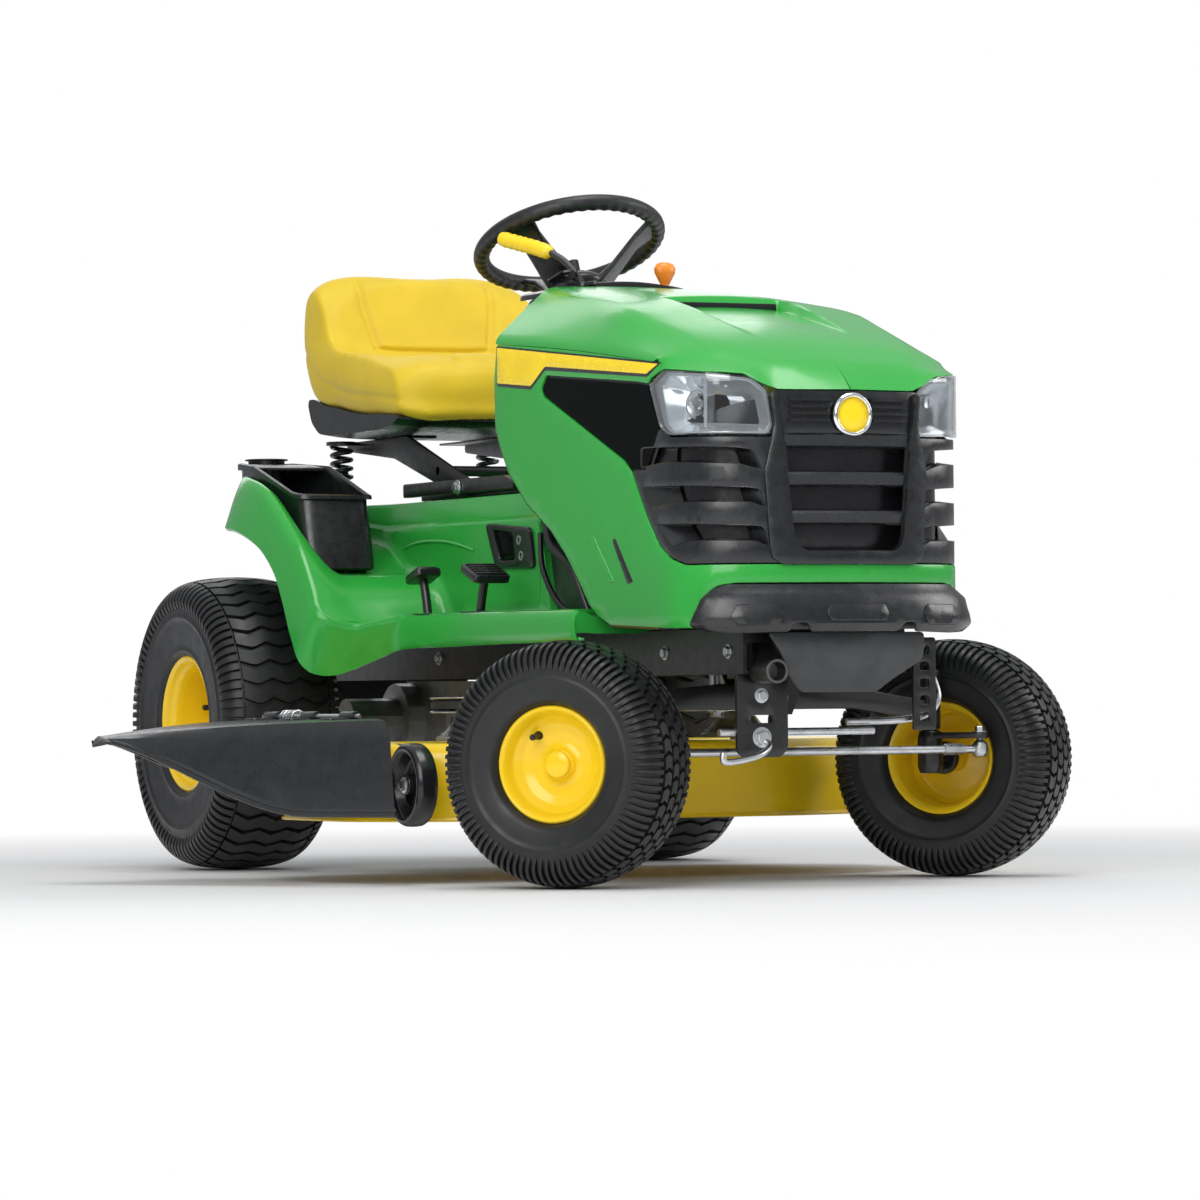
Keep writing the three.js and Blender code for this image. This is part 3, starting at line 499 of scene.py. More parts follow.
def noise(tree, scale, detail=3.0, roughness=0.5, stretch=(1, 1, 1)):
    """A noise value in the piece's own coordinates, in metres."""
    place = add(tree, "ShaderNodeTexCoord").outputs["Object"]
    if stretch != (1, 1, 1):
        place = add(tree, "ShaderNodeMapping", {"Vector": place, "Scale": stretch}).outputs["Vector"]
    made = add(tree, "ShaderNodeTexNoise", {
        "Vector": place, "Scale": scale, "Detail": detail, "Roughness": roughness})
    return made.outputs["Fac"]


def cells(tree, scale):
    place = add(tree, "ShaderNodeTexCoord").outputs["Object"]
    return add(tree, "ShaderNodeTexVoronoi", {"Vector": place, "Scale": scale}).outputs["Distance"]


def bump(tree, height, strength, distance, below=None):
    inputs = {"Height": height, "Strength": strength, "Distance": distance}
    if below:
        inputs["Normal"] = below
    return add(tree, "ShaderNodeBump", inputs).outputs["Normal"]


def tinted(tree, colour, darker, amount):
    """The colour, mixed towards a darker shade of itself by a noise value."""
    mixed = add(tree, "ShaderNodeMix", {
        "Factor": amount, "A": (*colour, 1), "B": (*[c * darker for c in colour], 1)}, data_type="RGBA")
    return mixed.outputs["Result"]


def blank(name):
    material = bpy.data.materials.new(name)
    material.use_nodes = True
    tree = material.node_tree
    return material, tree, tree.nodes["Principled BSDF"]


def feed(tree, shader, **inputs):
    """Sets or links a Principled shader's inputs by name."""
    for key, value in inputs.items():
        socket = shader.inputs[key.replace("_", " ")]
        if isinstance(value, bpy.types.NodeSocket):
            tree.links.new(value, socket)
        else:
            socket.default_value = value


def gloss_paint(name, colour):
    """Glossy moulded or painted panel: faint orange peel, cloudy gloss, a clear top layer."""
    material, tree, shader = blank(name)
    cloud = noise(tree, 9, 2)
    peel = bump(tree, noise(tree, 420, 2), 0.03, 0.0004)
    feed(tree, shader,
         Base_Color=tinted(tree, colour, 0.9, ramp(tree, cloud, 0, 0.25, 0.35, 0.7)),
         Roughness=ramp(tree, noise(tree, 30, 4), 0.2, 0.26, 0.3, 0.7),
         Specular_IOR_Level=0.35, Coat_Weight=0.22, Coat_Roughness=0.1, Normal=peel)
    return material


def moulded_plastic(name, colour, grain, depth, rough=(0.42, 0.58), shine=0.5, metal=0.0):
    """Injection-moulded plastic with a stippled grain and patchy sheen."""
    material, tree, shader = blank(name)
    stipple = bump(tree, noise(tree, grain, 4, 0.6), 0.35, depth)
    shade = 0.6 if max(colour) < 0.1 else 0.93
    feed(tree, shader,
         Base_Color=tinted(tree, colour, shade, ramp(tree, noise(tree, 24, 5), 0, 1, 0.3, 0.7)),
         Roughness=ramp(tree, noise(tree, 60, 4), *rough, 0.3, 0.7),
         Specular_IOR_Level=shine, Metallic=metal, Normal=stipple)
    return material


def rubber_skin(name, colour, rough):
    """Vulcanised rubber: matt, with fine mould texture and a faint dusty bloom."""
    material, tree, shader = blank(name)
    fine = bump(tree, noise(tree, 900, 3, 0.7), 0.25, 0.0004)
    bloom = ramp(tree, noise(tree, 18, 6, 0.7), 0, 1, 0.35, 0.75)
    dust = add(tree, "ShaderNodeMix", {
        "Factor": bloom, "A": (*colour, 1), "B": (*[c * 1.6 + 0.003 for c in colour], 1)},
        data_type="RGBA")
    feed(tree, shader, Base_Color=dust.outputs["Result"],
         Roughness=ramp(tree, noise(tree, 45, 5), *rough, 0.3, 0.7),
         Specular_IOR_Level=0.42, Normal=fine)
    return material


def grained_vinyl(name, colour):
    """Seat vinyl: pebbled leather grain over soft wrinkles, with a satin sheen."""
    material, tree, shader = blank(name)
    pebble = bump(tree, cells(tree, 520), 0.28, 0.0006)
    wrinkle = bump(tree, noise(tree, 36, 3), 0.12, 0.004, pebble)
    feed(tree, shader,
         Base_Color=tinted(tree, colour, 0.84, ramp(tree, noise(tree, 14, 4), 0, 0.7, 0.35, 0.75)),
         Roughness=ramp(tree, cells(tree, 520), 0.42, 0.6, 0, 0.6),
         Specular_IOR_Level=0.45, Sheen_Weight=0.08, Normal=wrinkle)
    return material


def satin_steel(name, colour, rough=(0.3, 0.45), metallic=0.0):
    """Powder-coated steel: dark and satin, with a fine orange peel and rubbed patches."""
    material, tree, shader = blank(name)
    peel = bump(tree, noise(tree, 700, 2), 0.14, 0.0005)
    feed(tree, shader,
         Base_Color=tinted(tree, colour, 0.55, ramp(tree, noise(tree, 20, 5), 0, 1, 0.35, 0.7)),
         Roughness=ramp(tree, noise(tree, 50, 5), *rough, 0.3, 0.7),
         Metallic=metallic, Coat_Weight=0.25, Coat_Roughness=0.2, Normal=peel)
    return material


def bare_metal(name, colour, rough, scratch, grain=(1, 1, 30)):
    """Zinc-plated, cast or chromed metal: stretched brushing, patchy roughness and small pits."""
    material, tree, shader = blank(name)
    brushed = bump(tree, noise(tree, 260, 4, 0.6, grain), scratch, 0.0005)
    feed(tree, shader,
         Base_Color=tinted(tree, colour, 0.7, ramp(tree, noise(tree, 35, 5), 0, 1, 0.35, 0.75)),
         Roughness=ramp(tree, noise(tree, 80, 5), *rough, 0.3, 0.7), Metallic=1.0, Normal=brushed)
    return material


def mix_to_surface(tree, share, first, second, output):
    """Mixes two shaders by a share and makes the result the surface."""
    mixed = add(tree, "ShaderNodeMixShader", {"Fac": share, 1: first.outputs[0], 2: second.outputs[0]})
    tree.links.new(mixed.outputs[0], tree.nodes[output].inputs["Surface"])


def clear_lens(name):
    """Clear moulded polycarbonate: sees through, reflects at grazing angles, casts no dark shadow."""
    material, tree, shader = blank(name)
    ripple = bump(tree, noise(tree, 60, 2), 0.08, 0.002)
    through = add(tree, "ShaderNodeBsdfTransparent", {"Color": (0.93, 0.95, 0.96, 1)})
    shine = add(tree, "ShaderNodeBsdfGlossy", {
        "Color": (1, 1, 1, 1), "Roughness": ramp(tree, noise(tree, 40), 0.03, 0.09), "Normal": ripple})
    edge = add(tree, "ShaderNodeLayerWeight", {"Blend": 0.35, "Normal": ripple})
    share = ramp(tree, edge.outputs["Fresnel"], 0.04, 0.45)
    mix_to_surface(tree, share, through, shine, "Material Output")
    tree.nodes.remove(shader)
    return material


GREEN = gloss_paint("green_panel", (0.026, 0.34, 0.045))
YELLOW = gloss_paint("yellow_enamel", (0.82, 0.55, 0.012))
VINYL = grained_vinyl("yellow_seat_vinyl", (0.65, 0.46, 0.008))
PLASTIC = moulded_plastic("black_moulded_plastic", (0.009, 0.01, 0.011), 1500, 0.0002, (0.22, 0.36), 0.6)
SMOOTH_PLASTIC = moulded_plastic("black_smooth_plastic", (0.012, 0.012, 0.014), 900, 0.0001, (0.16, 0.28))
WINDOW = moulded_plastic("dark_gloss_window", (0.002, 0.0025, 0.0025), 600, 0.00005, (0.06, 0.12), 0.04)
RUBBER_GRIP = moulded_plastic("black_grip", (0.012, 0.012, 0.013), 1200, 0.0004, (0.38, 0.5))
RUBBER = rubber_skin("tyre_rubber", (0.006, 0.0064, 0.0068), (0.34, 0.5))
BELT_RUBBER = rubber_skin("belt_rubber", (0.014, 0.014, 0.014), (0.6, 0.8))
BLACK_STEEL = satin_steel("black_powder_coat", (0.006, 0.006, 0.0065))
GREY_STEEL = satin_steel("grey_sheet_guard", (0.03, 0.032, 0.034), (0.5, 0.62))
CAST = bare_metal("cast_aluminium", (0.42, 0.43, 0.44), (0.45, 0.65), 0.35, (1, 1, 1))
ZINC = bare_metal("zinc_plated_steel", (0.62, 0.63, 0.64), (0.24, 0.4), 0.12)
CHROME = bare_metal("vacuum_chrome", (0.86, 0.87, 0.88), (0.05, 0.1), 0.02)
EXHAUST = bare_metal("dark_exhaust_steel", (0.16, 0.155, 0.15), (0.35, 0.6), 0.2, (1, 1, 1))
CHUTE_PLASTIC = moulded_plastic("chute_plastic", (0.012, 0.013, 0.014), 1300, 0.0002, (0.24, 0.36), 0.6)
LENS = clear_lens("clear_lens")
LAMP_GREY = moulded_plastic("lamp_bezel_grey", (0.5, 0.51, 0.52), 500, 0.00005, (0.08, 0.16), 0.5, 0.5)
# The reflector is near-white and only 0.72 metallic. Its metal reflects for real, and its diffuse share is
# a painted reflection that keeps the chrome bowl bright.
REFLECTOR = moulded_plastic("lamp_reflector", (0.9, 0.91, 0.93), 300, 0.00003, (0.06, 0.14), 0.5, 0.72)
ORANGE = moulded_plastic("orange_plastic", (0.9, 0.26, 0.02), 700, 0.0001, (0.3, 0.4))
YELLOW_GRIP = moulded_plastic("yellow_plastic", (0.9, 0.62, 0.015), 700, 0.0001, (0.3, 0.42))
DECAL_YELLOW = moulded_plastic("yellow_decal", (0.95, 0.68, 0.01), 300, 0.00003, (0.2, 0.3))
DECAL_BLACK = moulded_plastic("black_decal", (0.008, 0.008, 0.008), 300, 0.00003, (0.22, 0.3))


def dress_frame():
    """CAD nodes carried over get the material of the real part; the others are hidden later."""
    by_node = {"transaxle": CAST, "axle_shaft_left": ZINC, "axle_shaft_right": ZINC, "ignition_key": ZINC,
               "battery": PLASTIC, "fuel_cap": PLASTIC}
    for node, piece in frame["nodes"].items():
        piece.data.materials.clear()
        piece.data.materials.append(by_node.get(node, BLACK_STEEL))


# ---------------------------------------------------------------- wheels

def tyre_curve(radius, half, bead, rim_half):
    """Half of a tyre's outer section, from the crown to the bead, as (radius, distance) points."""
    side = (bead + radius) / 2
    return spline([
        (radius, 0), (radius - 1.5, half * 0.35), (radius - 6, half * 0.66), (radius - 15, half * 0.88),
        (radius - 32, half * 0.985), (side + 2, half), (bead + 22, half * 0.95),
        (bead + 9, (half + rim_half) / 2 + 1), (bead + 2, rim_half + 0.5), (bead - 1, rim_half - 6),
    ], 8)


class Section:
    """A tyre's outer section, measured by distance along it from the crown."""

    def __init__(self, curve):
        self.curve = curve
        self.along = [0.0]
        for a, b in zip(curve, curve[1:]):
            self.along.append(self.along[-1] + (b - a).length)

    def at(self, distance, height):
        """Radius and sideways place, height above the surface; negative distances mirror."""
        side, s = (1, distance) if distance >= 0 else (-1, -distance)
        i = 0
        while i < len(self.along) - 2 and self.along[i + 1] < s:
            i += 1
        a, b = self.curve[i], self.curve[i + 1]
        t = (s - self.along[i]) / (self.along[i + 1] - self.along[i])
        point, way = a.lerp(b, t), (b - a).normalized()
        return point.x + way.y * height, side * (point.y - way.x * height)

    def distance_to_radius(self, radius):
        for point, s in zip(self.curve, self.along):
            if point.x < radius:
                return s
        return self.along[-1]


def tread_block(section, rows, radius):
    """One block: rows of (distance, lead edge, trail edge, height), edges in mm round the tyre."""
    draft = 0.9
    rings = []
    for i, (s, lead, trail, height) in enumerate(rows):
        shift = draft if i == 0 else -draft if i == len(rows) - 1 else 0
        feet = [(s, lead, -1.0), (s + shift, lead + draft, height), (s + shift, trail - draft, height),
                (s, trail, -1.0)]
        ring = []
        for distance, around, lift in feet:
            r, t = section.at(distance, lift)
            angle = around / radius
            ring.append(Vector((r * math.cos(angle), r * math.sin(angle), t)))
        rings.append(ring)
    return loft(rings)


def repeated(shape, count):
    """A shape in wheel coordinates, copied round the wheel."""
    return merge(*[moved(shape, Matrix.Rotation(2 * math.pi * i / count, 4, "Z")) for i in range(count)])


def lug(section, radius, start, end, pitch, side, depth, width):
    """A shoulder lug that wraps over the shoulder and fades out on the sidewall."""
    steps = 7
    rows = []
    for t in (i / steps for i in range(steps + 1)):
        half = pitch * width * lerp(0.5, 0.42, t)
        rows.append((side * lerp(start, end, t), -half, half, depth * (1 - smoothstep(0.72, 1, t) * 0.85)))
    return tread_block(section, rows if side > 0 else rows[::-1], radius)


PITCHES = 46


def shoulder_lugs(section, radius, start, end, depth, width):
    """A row of lugs on each shoulder, two to every pitch of the tread."""
    pitch = math.pi * radius / PITCHES
    return [repeated(lug(section, radius, start, end, pitch, side, depth, width), PITCHES * 2)
            for side in (1, -1)]


def front_tread(section, radius, depth):
    """Four staggered columns of V-shaped blocks, and shoulder lugs beside them."""
    pitch = 2 * math.pi * radius / PITCHES
    width, gap, half, wave = 18, 1.8, pitch / 2 - 2.4, 4.6
    shapes = []
    for i, column in enumerate((-43, -21.5, 0, 21.5)):
        offset = pitch / 2 if i % 2 else 0
        start = column + gap
        rows = [(lerp(start, start + width, t), offset + rise - half, offset + rise + half, depth)
                for t, rise in ((0, 0), (0.5, wave), (1, 0))]
        shapes.append(repeated(tread_block(section, rows, radius), PITCHES))
    return merge(*shapes, *shoulder_lugs(section, radius, 45.5, 95, depth, 0.66))


def rear_tread(section, radius, depth):
    """Wavy bars across the crown with small notches, and shoulder lugs beside them."""
    pitch = 2 * math.pi * radius / PITCHES
    reach, waves = 76, 6
    rows = []
    for i in range(waves * 4 + 1):
        share = i / (waves * 4)
        lean = 5.5 * abs(4 * (share * waves / 2 % 1) - 2) - 5.5
        notch = 1.6 if i % 8 == 4 else 0
        half = pitch / 2 - 3.6 - notch
        rows.append((lerp(-reach, reach, share), lean - half, lean + half, depth))
    bars = repeated(tread_block(section, rows, radius), PITCHES)
    return merge(bars, *shoulder_lugs(section, radius, reach + 2, reach + 54, depth, 0.74))


def tyre(radius, half, bead, rim_half, depth, tread, guard):
    """A tyre in wheel coordinates: z is the outward side."""
    section = Section(tyre_curve(radius - depth, half - 1, bead, rim_half))
    ring_at = section.distance_to_radius(guard)
    ring_height, ring_width = 2.2, 2.6
    profile = []
    for point, s in zip(section.curve, section.along):
        height = ring_height * math.exp(-((s - ring_at) / ring_width) ** 2)
        profile.append(section.at(s, height) if s > 1 else tuple(point))
    inner = [(bead + 6, rim_half - 8), (bead + 14, half - 12), (radius - 22, half - 16), (radius - 16, 0)]
    half_loop = profile + inner
    loop = half_loop + [(r, -t) for r, t in reversed(half_loop[1:-1])]
    carcass = lathe(loop, (0, 0, 0), (0, 0, 1), 120, joined=True)
    return merge(carcass, tread(section, radius - depth, depth))


def on_wheel(shape, centre, outward):
    """Puts a shape made in wheel coordinates on a wheel that faces outward."""
    outward = Vector(outward).normalized()
    first, second = across(outward)
    turn = Matrix((first, second, outward)).transposed().to_4x4()
    return moved(shape, Matrix.Translation(Vector(centre)) @ turn)


def rim(profile):
    return lathe(rounded(profile, 2.5), *HUB, 112, joined=True)


HUB = (0, 0, 0), (0, 0, 1)
FRONT_RIM = [
    (89, 57.5), (86, 59.5), (82, 56), (79, 50), (75, 38), (63, 27), (50, 21), (34, 19), (26, 23), (22, 31),
    (10.5, 32), (10.5, -42), (22, -42), (22, 8), (36, 11), (52, 14), (66, 14), (74, 4), (75, -30),
    (79, -48), (84, -55), (89, -57.5), (90.5, -55), (80, -44), (77.5, -30), (77.5, 32), (80.5, 45),
    (90.5, 55),
]
REAR_RIM = [
    (116, 89.5), (112, 91.5), (107, 87), (104, 78), (99, 72), (97, 62), (96, 14), (92, 4), (82, 0),
    (60, -2),
    (46, 4), (34, 5), (30, 20), (13.8, 22), (13.8, -80), (26, -80), (26, -9), (46, -10), (66, -10),
    (90, -12),
    (96, -22), (97, -62), (104, -80), (112, -88), (116, -89.5), (118, -87), (108, -78), (101, -62),
    (101, 62), (108, 78), (118, 87),
]


def valve_stem(at_radius, at_depth, angle):
    """A rubber valve stem with its cap."""
    foot = Vector((at_radius, 0, at_depth)), (-0.15, 0, 1)
    stem = turned([(0, -4), (7.5, -4), (7, 2), (4.6, 6), (4.2, 20), (0, 20)], *foot, 1, 20)
    cap = turned([(0, 19), (5, 19), (5, 27), (3.8, 30), (0, 30)], *foot, 0.8, 20)
    return moved(merge(stem, cap), Matrix.Rotation(angle, 4, "Z"))


def wheel_parts(end, side):
    """What a front or rear wheel is made of: kind, shape, material and the CAD part it replaces."""
    if end == "front":
        cap = [(0, 43), (11.55, 42.25), (18.9, 40), (21, 38), (21, 29), (0, 29)]
        seal = [(10.5, -52), (25, -52), (27, -40), (24, -32), (10.5, -32)]
        return (("tyre_tread", tyre(190, 76, 89, 57, 7, front_tread, 134), RUBBER, "tyre"),
                ("rim_disc", rim(FRONT_RIM), YELLOW, "rim"),
                ("hub_cap", turned(cap, *HUB, 3), YELLOW, ""),
                ("hub_seal", turned(seal, *HUB), SMOOTH_PLASTIC, ""),
                ("valve_stem", valve_stem(58, 24, -0.7 * side), RUBBER, ""))
    washer = [(0, 33), (11, 33), (11, 24), (22, 24), (22, 20), (0, 20)]
    return (("tyre_tread", tyre(253, 103, 116, 89, 6.5, rear_tread, 186), RUBBER, "tyre"),
            ("rim_disc", rim(REAR_RIM), YELLOW, "rim"),
            ("hub_washer", turned(washer, *HUB, 1), ZINC, ""),
            ("valve_stem", valve_stem(78, 2, 1.2), RUBBER, ""))


def build_wheels():
    for end in ("front", "rear"):
        for name, side in SIDES:
            joint = f"{end}_{name}_spin"
            outward = turn_axis(joint)
            outward = outward if outward.x * side > 0 else -outward
            for kind, shape, material, node in wheel_parts(end, side):
                solid(f"{kind}_{end}_{name}", on_wheel(shape, pivot(joint), outward), material,
                      f"{end}_wheel_{name}", [f"{end}_{node}_{name}"] if node else (),
                      28 if node == "tyre" else 32)


# ---------------------------------------------------------------- hood

HOOD_HALF = 245
HOOD_SKIN = 4
CROWN = [(-777, 966), (-1100, 930), (-1290, 882), (-1420, 838), (-1500, 798)]
SHOULDER = [(-777, 150, 962), (-1084, 190, 918), (-1187, 206, 899), (-1264, 201, 876),
            (-1360, 186, 848), (-1430, 168, 825), (-1487, 136, 797)]
SIDE_EDGE = [(-777, 876), (-987, 858), (-1172, 838), (-1380, 812)]
NOSE_PLAN = [(245, -777), (245, -1380), (243, -1412), (233, -1445), (212, -1478), (182, -1503),
             (110, -1529), (0, -1545)]
NOSE_LINE = [(245, -1380, 812), (236, -1402, 808), (215, -1430, 803), (180, -1461, 799), (136, -1487, 797),
             (70, -1497, 798), (0, -1500, 798)]


def table(points, x):
    """Smooth value at x through points whose first number falls steadily."""
    known = sorted(points)
    if x <= known[0][0]:
        return known[0][1]
    for i in range(len(known) - 1):
        x0, x1 = known[i][0], known[i + 1][0]
        if x <= x1:
            t = (x - x0) / (x1 - x0)
            y0, y1 = known[i][1], known[i + 1][1]
            before = known[max(i - 1, 0)]
            after = known[min(i + 2, len(known) - 1)]
            m0 = (y1 - before[1]) / (x1 - before[0]) * (x1 - x0)
            m1 = (after[1] - y0) / (after[0] - x0) * (x1 - x0)
            return ((2 * t ** 3 - 3 * t ** 2 + 1) * y0 + (t ** 3 - 2 * t ** 2 + t) * m0
                    + (3 * t ** 2 - 2 * t ** 3) * y1 + (t ** 3 - t ** 2) * m1)
    return known[-1][1]


class Wall:
    """An upright wall over half a plan, mirrored at x = 0; q runs along it from y = 0."""

    def __init__(self, plan, steps=10):
        straight, curved = plan[:1], plan[1:]
        self.points = [Vector(p) for p in straight] + spline(curved, steps)
        self.q = [-self.points[0].y]
        for a, b in zip(self.points, self.points[1:]):
            self.q.append(self.q[-1] + (b - a).length)
        self.middle = self.q[-1]

    def plan(self, q):
        mirror = q > self.middle
        q = 2 * self.middle - q if mirror else q
        i = 0
        while i < len(self.q) - 2 and self.q[i + 1] < q:
            i += 1
        t = (q - self.q[i]) / (self.q[i + 1] - self.q[i])
        point = self.points[i].lerp(self.points[i + 1], t)
        return Vector((-point.x, point.y)) if mirror else point

    def at(self, q, z, depth=0.0):
        """The point at q and height z, depth millimetres inside the wall."""
        point = self.plan(q)
        way = self.plan(q + 1.5) - self.plan(q - 1.5)
        inward = Vector((way.y, -way.x)).normalized()
        if q == self.middle:
            inward = Vector((0, 1))
        return Vector((point.x + inward.x * depth, point.y + inward.y * depth, z))

    def mirror(self, points):
        return [(2 * self.middle - q, z) for q, z in reversed(points)]


NOSE = Wall(NOSE_PLAN)


def crown_height(x, y):
    """Height of the hood's top, shoulder and facet above a point."""
    shoulder_x = table([(p[0], p[1]) for p in SHOULDER], y)
    shoulder_z = table([(p[0], p[2]) for p in SHOULDER], y)
    if x <= shoulder_x:
        middle = table(CROWN, y)
        return shoulder_z + (middle - shoulder_z) * (1 - (x / shoulder_x) ** 2)
    share = (x - shoulder_x) / (HOOD_HALF - shoulder_x)
    bulge = 5 * share * (1 - share)
    return lerp(shoulder_z, table(SIDE_EDGE, y), share) + bulge


VENT_FRONT = -1106


def vent_depth(x, y):
    """How far the air inlet's recess lies below the crown."""
    if y > VENT_FRONT:
        return 0.0
    wall = smoothstep(1106, 1119, -y)
    fade = 1 - smoothstep(1119, 1420, -y)
    half = lerp(101, 86, (VENT_FRONT - y) / 314)
    return 17 * wall * fade * (1 - smoothstep(half - 5, half + 5, x))


def hood_section(y):
    """Half of a cross-section, from the middle to below the side edge; the same count for any y."""
    shoulder_x = table([(p[0], p[1]) for p in SHOULDER], y)
    flat = [0, 14, 28, 42, 56, 68, 78, 84, 88, 92, 96, 100, 104, 110]
    ease, edge = 12, 9
    xs = flat + [lerp(110, shoulder_x - ease, k / 3) for k in (1, 2, 3)]
    section = [Vector((x, crown_height(x, y) - vent_depth(x, y))) for x in xs]
    shoulder = Vector((shoulder_x, crown_height(shoulder_x, y)))
    after = Vector((shoulder_x + ease, crown_height(shoulder_x + ease, y)))
    section += bend(section[-1], shoulder, after, (0.25, 0.5, 0.75, 1))
    for k in (1, 2, 3, 4):
        x = lerp(after.x, HOOD_HALF - edge, k / 4)
        section.append(Vector((x, crown_height(x, y))))
    corner = Vector((HOOD_HALF, crown_height(HOOD_HALF, y)))
    return section + bend(section[-1], corner, corner - Vector((0, edge)), (0.2, 0.4, 0.6, 0.8, 1))


def band_foot(x):
    """Where the band over the grille and lamps ends, below a point x of the front edge."""
    q = table([(0, 1712), (60, 1650), (100, 1606), (136, 1568), (180, 1506), (215, 1450), (245, 1386)], x)
    z = table([(1386, 789), (1399, 792), (1480, 785), (1556, 778), (1580, 760), (1602, 757), (1712, 757)],
              q)
    return NOSE.at(min(q, NOSE.middle), z)


def hood_top():
    """The top of the hood as rows of points from the console to the band over the grille."""
    rows = [[Vector((x, y, z)) for x, z in hood_section(y)]
            for y in (-777, -830, -890, -950, -1010, -1060, -1090, -1104, -1108, -1111, -1114, -1117, -1120,
                      -1128, -1145, -1170, -1200, -1230, -1260, -1290, -1318, -1345)]
    base = rows[-1]
    widest = base[-1].x
    ends = [nose_end(p.x / widest) for p in base]
    for t in (step / 8 for step in range(1, 9)):
        row = []
        for start, end in zip(base, ends):
            x, y = lerp(start.x, end.x, t), lerp(start.y, end.y, t)
            z = crown_height(x, y) - vent_depth(x, y)
            drop = end.z - crown_height(end.x, end.y)
            edge = start.z - crown_height(start.x, start.y) + vent_depth(start.x, start.y)
            row.append(Vector((x, y, z + drop * t ** 3 + edge * (1 - t ** 3))))
        rows.append(row)
    top_edge = rows.pop()
    before = rows[-1]
    feet = [band_foot(p.x) for p in top_edge]
    for t in (0.1, 0.22, 0.36, 0.5, 0.64, 0.8, 1):
        rows.append([b.lerp(c, min(1, t * 1.4)).lerp(c.lerp(f, t), t ** 0.8)
                     for b, c, f in zip(before, top_edge, feet)])
    rows.append([Vector((f.x * 0.985, f.y + 5, f.z - 1)) for f in feet])
    return rows


def nose_end(share):
    """The front edge point for a column at a share of the half width, even over the crown."""
    x = share * HOOD_HALF
    points = sorted((p[0], p[1], p[2]) for p in NOSE_LINE)
    for a, b in zip(points, points[1:]):
        if x <= b[0]:
            t = (x - a[0]) / (b[0] - a[0])
            return Vector((x, lerp(a[1], b[1], t), lerp(a[2], b[2], t)))
    return Vector(points[-1])


SIDE_FOOT = [(769, 807), (770, 738), (774, 727), (787, 701), (821, 656), (889, 605), (980, 559),
             (1036, 519), (1080, 480), (1123, 437), (1156, 418), (1199, 404), (1369, 397), (1462, 395),
             (1474, 402), (1484, 448), (1500, 459), (1530, 463), (1690, 463)]
MASK_SEAM = [(1690, 491), (1446, 491), (1413, 501), (1372, 525), (1331, 568), (1279, 639), (1250, 659)]
WINDOW_TIP = [(957, 773), (947, 785), (968, 806), (1302, 778), (1341, 773), (1349, 780), (1384, 790)]
LAMP_RIM = [(1344, 771), (1399, 790), (1480, 784), (1558, 776), (1582, 757), (1592, 701), (1584, 687),
            (1415, 690), (1385, 703)]
POCKETS = [
    [(1313, 674), (1390, 673), (1532, 669), (1556, 665), (1571, 634), (1537, 644), (1396, 650),
     (1312, 645)],
    [(1319, 615), (1416, 613), (1549, 608), (1566, 605), (1576, 577), (1552, 586), (1427, 588),
     (1352, 581)],
    [(1371, 556), (1440, 554), (1557, 550), (1572, 547), (1580, 518), (1560, 527), (1456, 529),
     (1418, 521)],
]


def raised(height, surface=NOSE.at):
    """A surface, moved out by a height."""
    return lambda q, z, depth: surface(q, z, depth - height)


def mirrored_too(points):
    """An outline from one side to the middle, and on to the other side."""
    return points + NOSE.mirror(points)


def side_outline():
    """The green sides and the band under the grille, as one outline on the nose wall."""
    crest = [(q, table(SIDE_EDGE, -q) - 9.5) for q in (1386, 1280, 1172, 1080, 987, 880, 779)]
    inner = MASK_SEAM + WINDOW_TIP
    return rounded(mirrored_too(crest + SIDE_FOOT) + NOSE.mirror(inner) + inner, 6, 3)


def side_piece(name, points, radius, height, thickness, edge, spacing, material, smooth=32):
    """A sheet on the side of the hood and its mirror image."""
    near = panel(rounded(points, radius, 3), raised(height), (), thickness, edge, spacing)
    solid(name, both(near), material, "hood", (), smooth)


WINDOW_OUTLINE = [(959, 775), (952, 785), (970, 803), (1302, 775), (1337, 770), (1378, 702), (1330, 640),
                  (1281, 642), (1252, 661)]
SIDE_PIECES = (
    ("side_stripe_border", [(781, 864), (1390, 803), (1340, 783), (966, 814), (912, 786), (781, 798)],
     4, 0.5, 0.5, 0.3, 24, DECAL_BLACK),
    ("side_stripe", [(783, 861), (1379, 801), (1338, 788), (968, 820), (913, 792), (783, 803)],
     4, 1, 0.5, 0.3, 24, DECAL_YELLOW),
    ("hood_side_window", WINDOW_OUTLINE, 5, -2, 3, 1.5, 24, WINDOW, 18),
    ("hood_side_emboss", [(1120, 546), (1141, 546), (1218, 470), (1197, 470)], 4, 1.6, 2, 1.5, 20, GREEN),
    ("hood_side_scoop", [(1214, 539), (1223, 537), (1283, 470), (1265, 465), (1214, 530)],
     3, 0.9, 1.4, 0.6, 20, SMOOTH_PLASTIC),
)


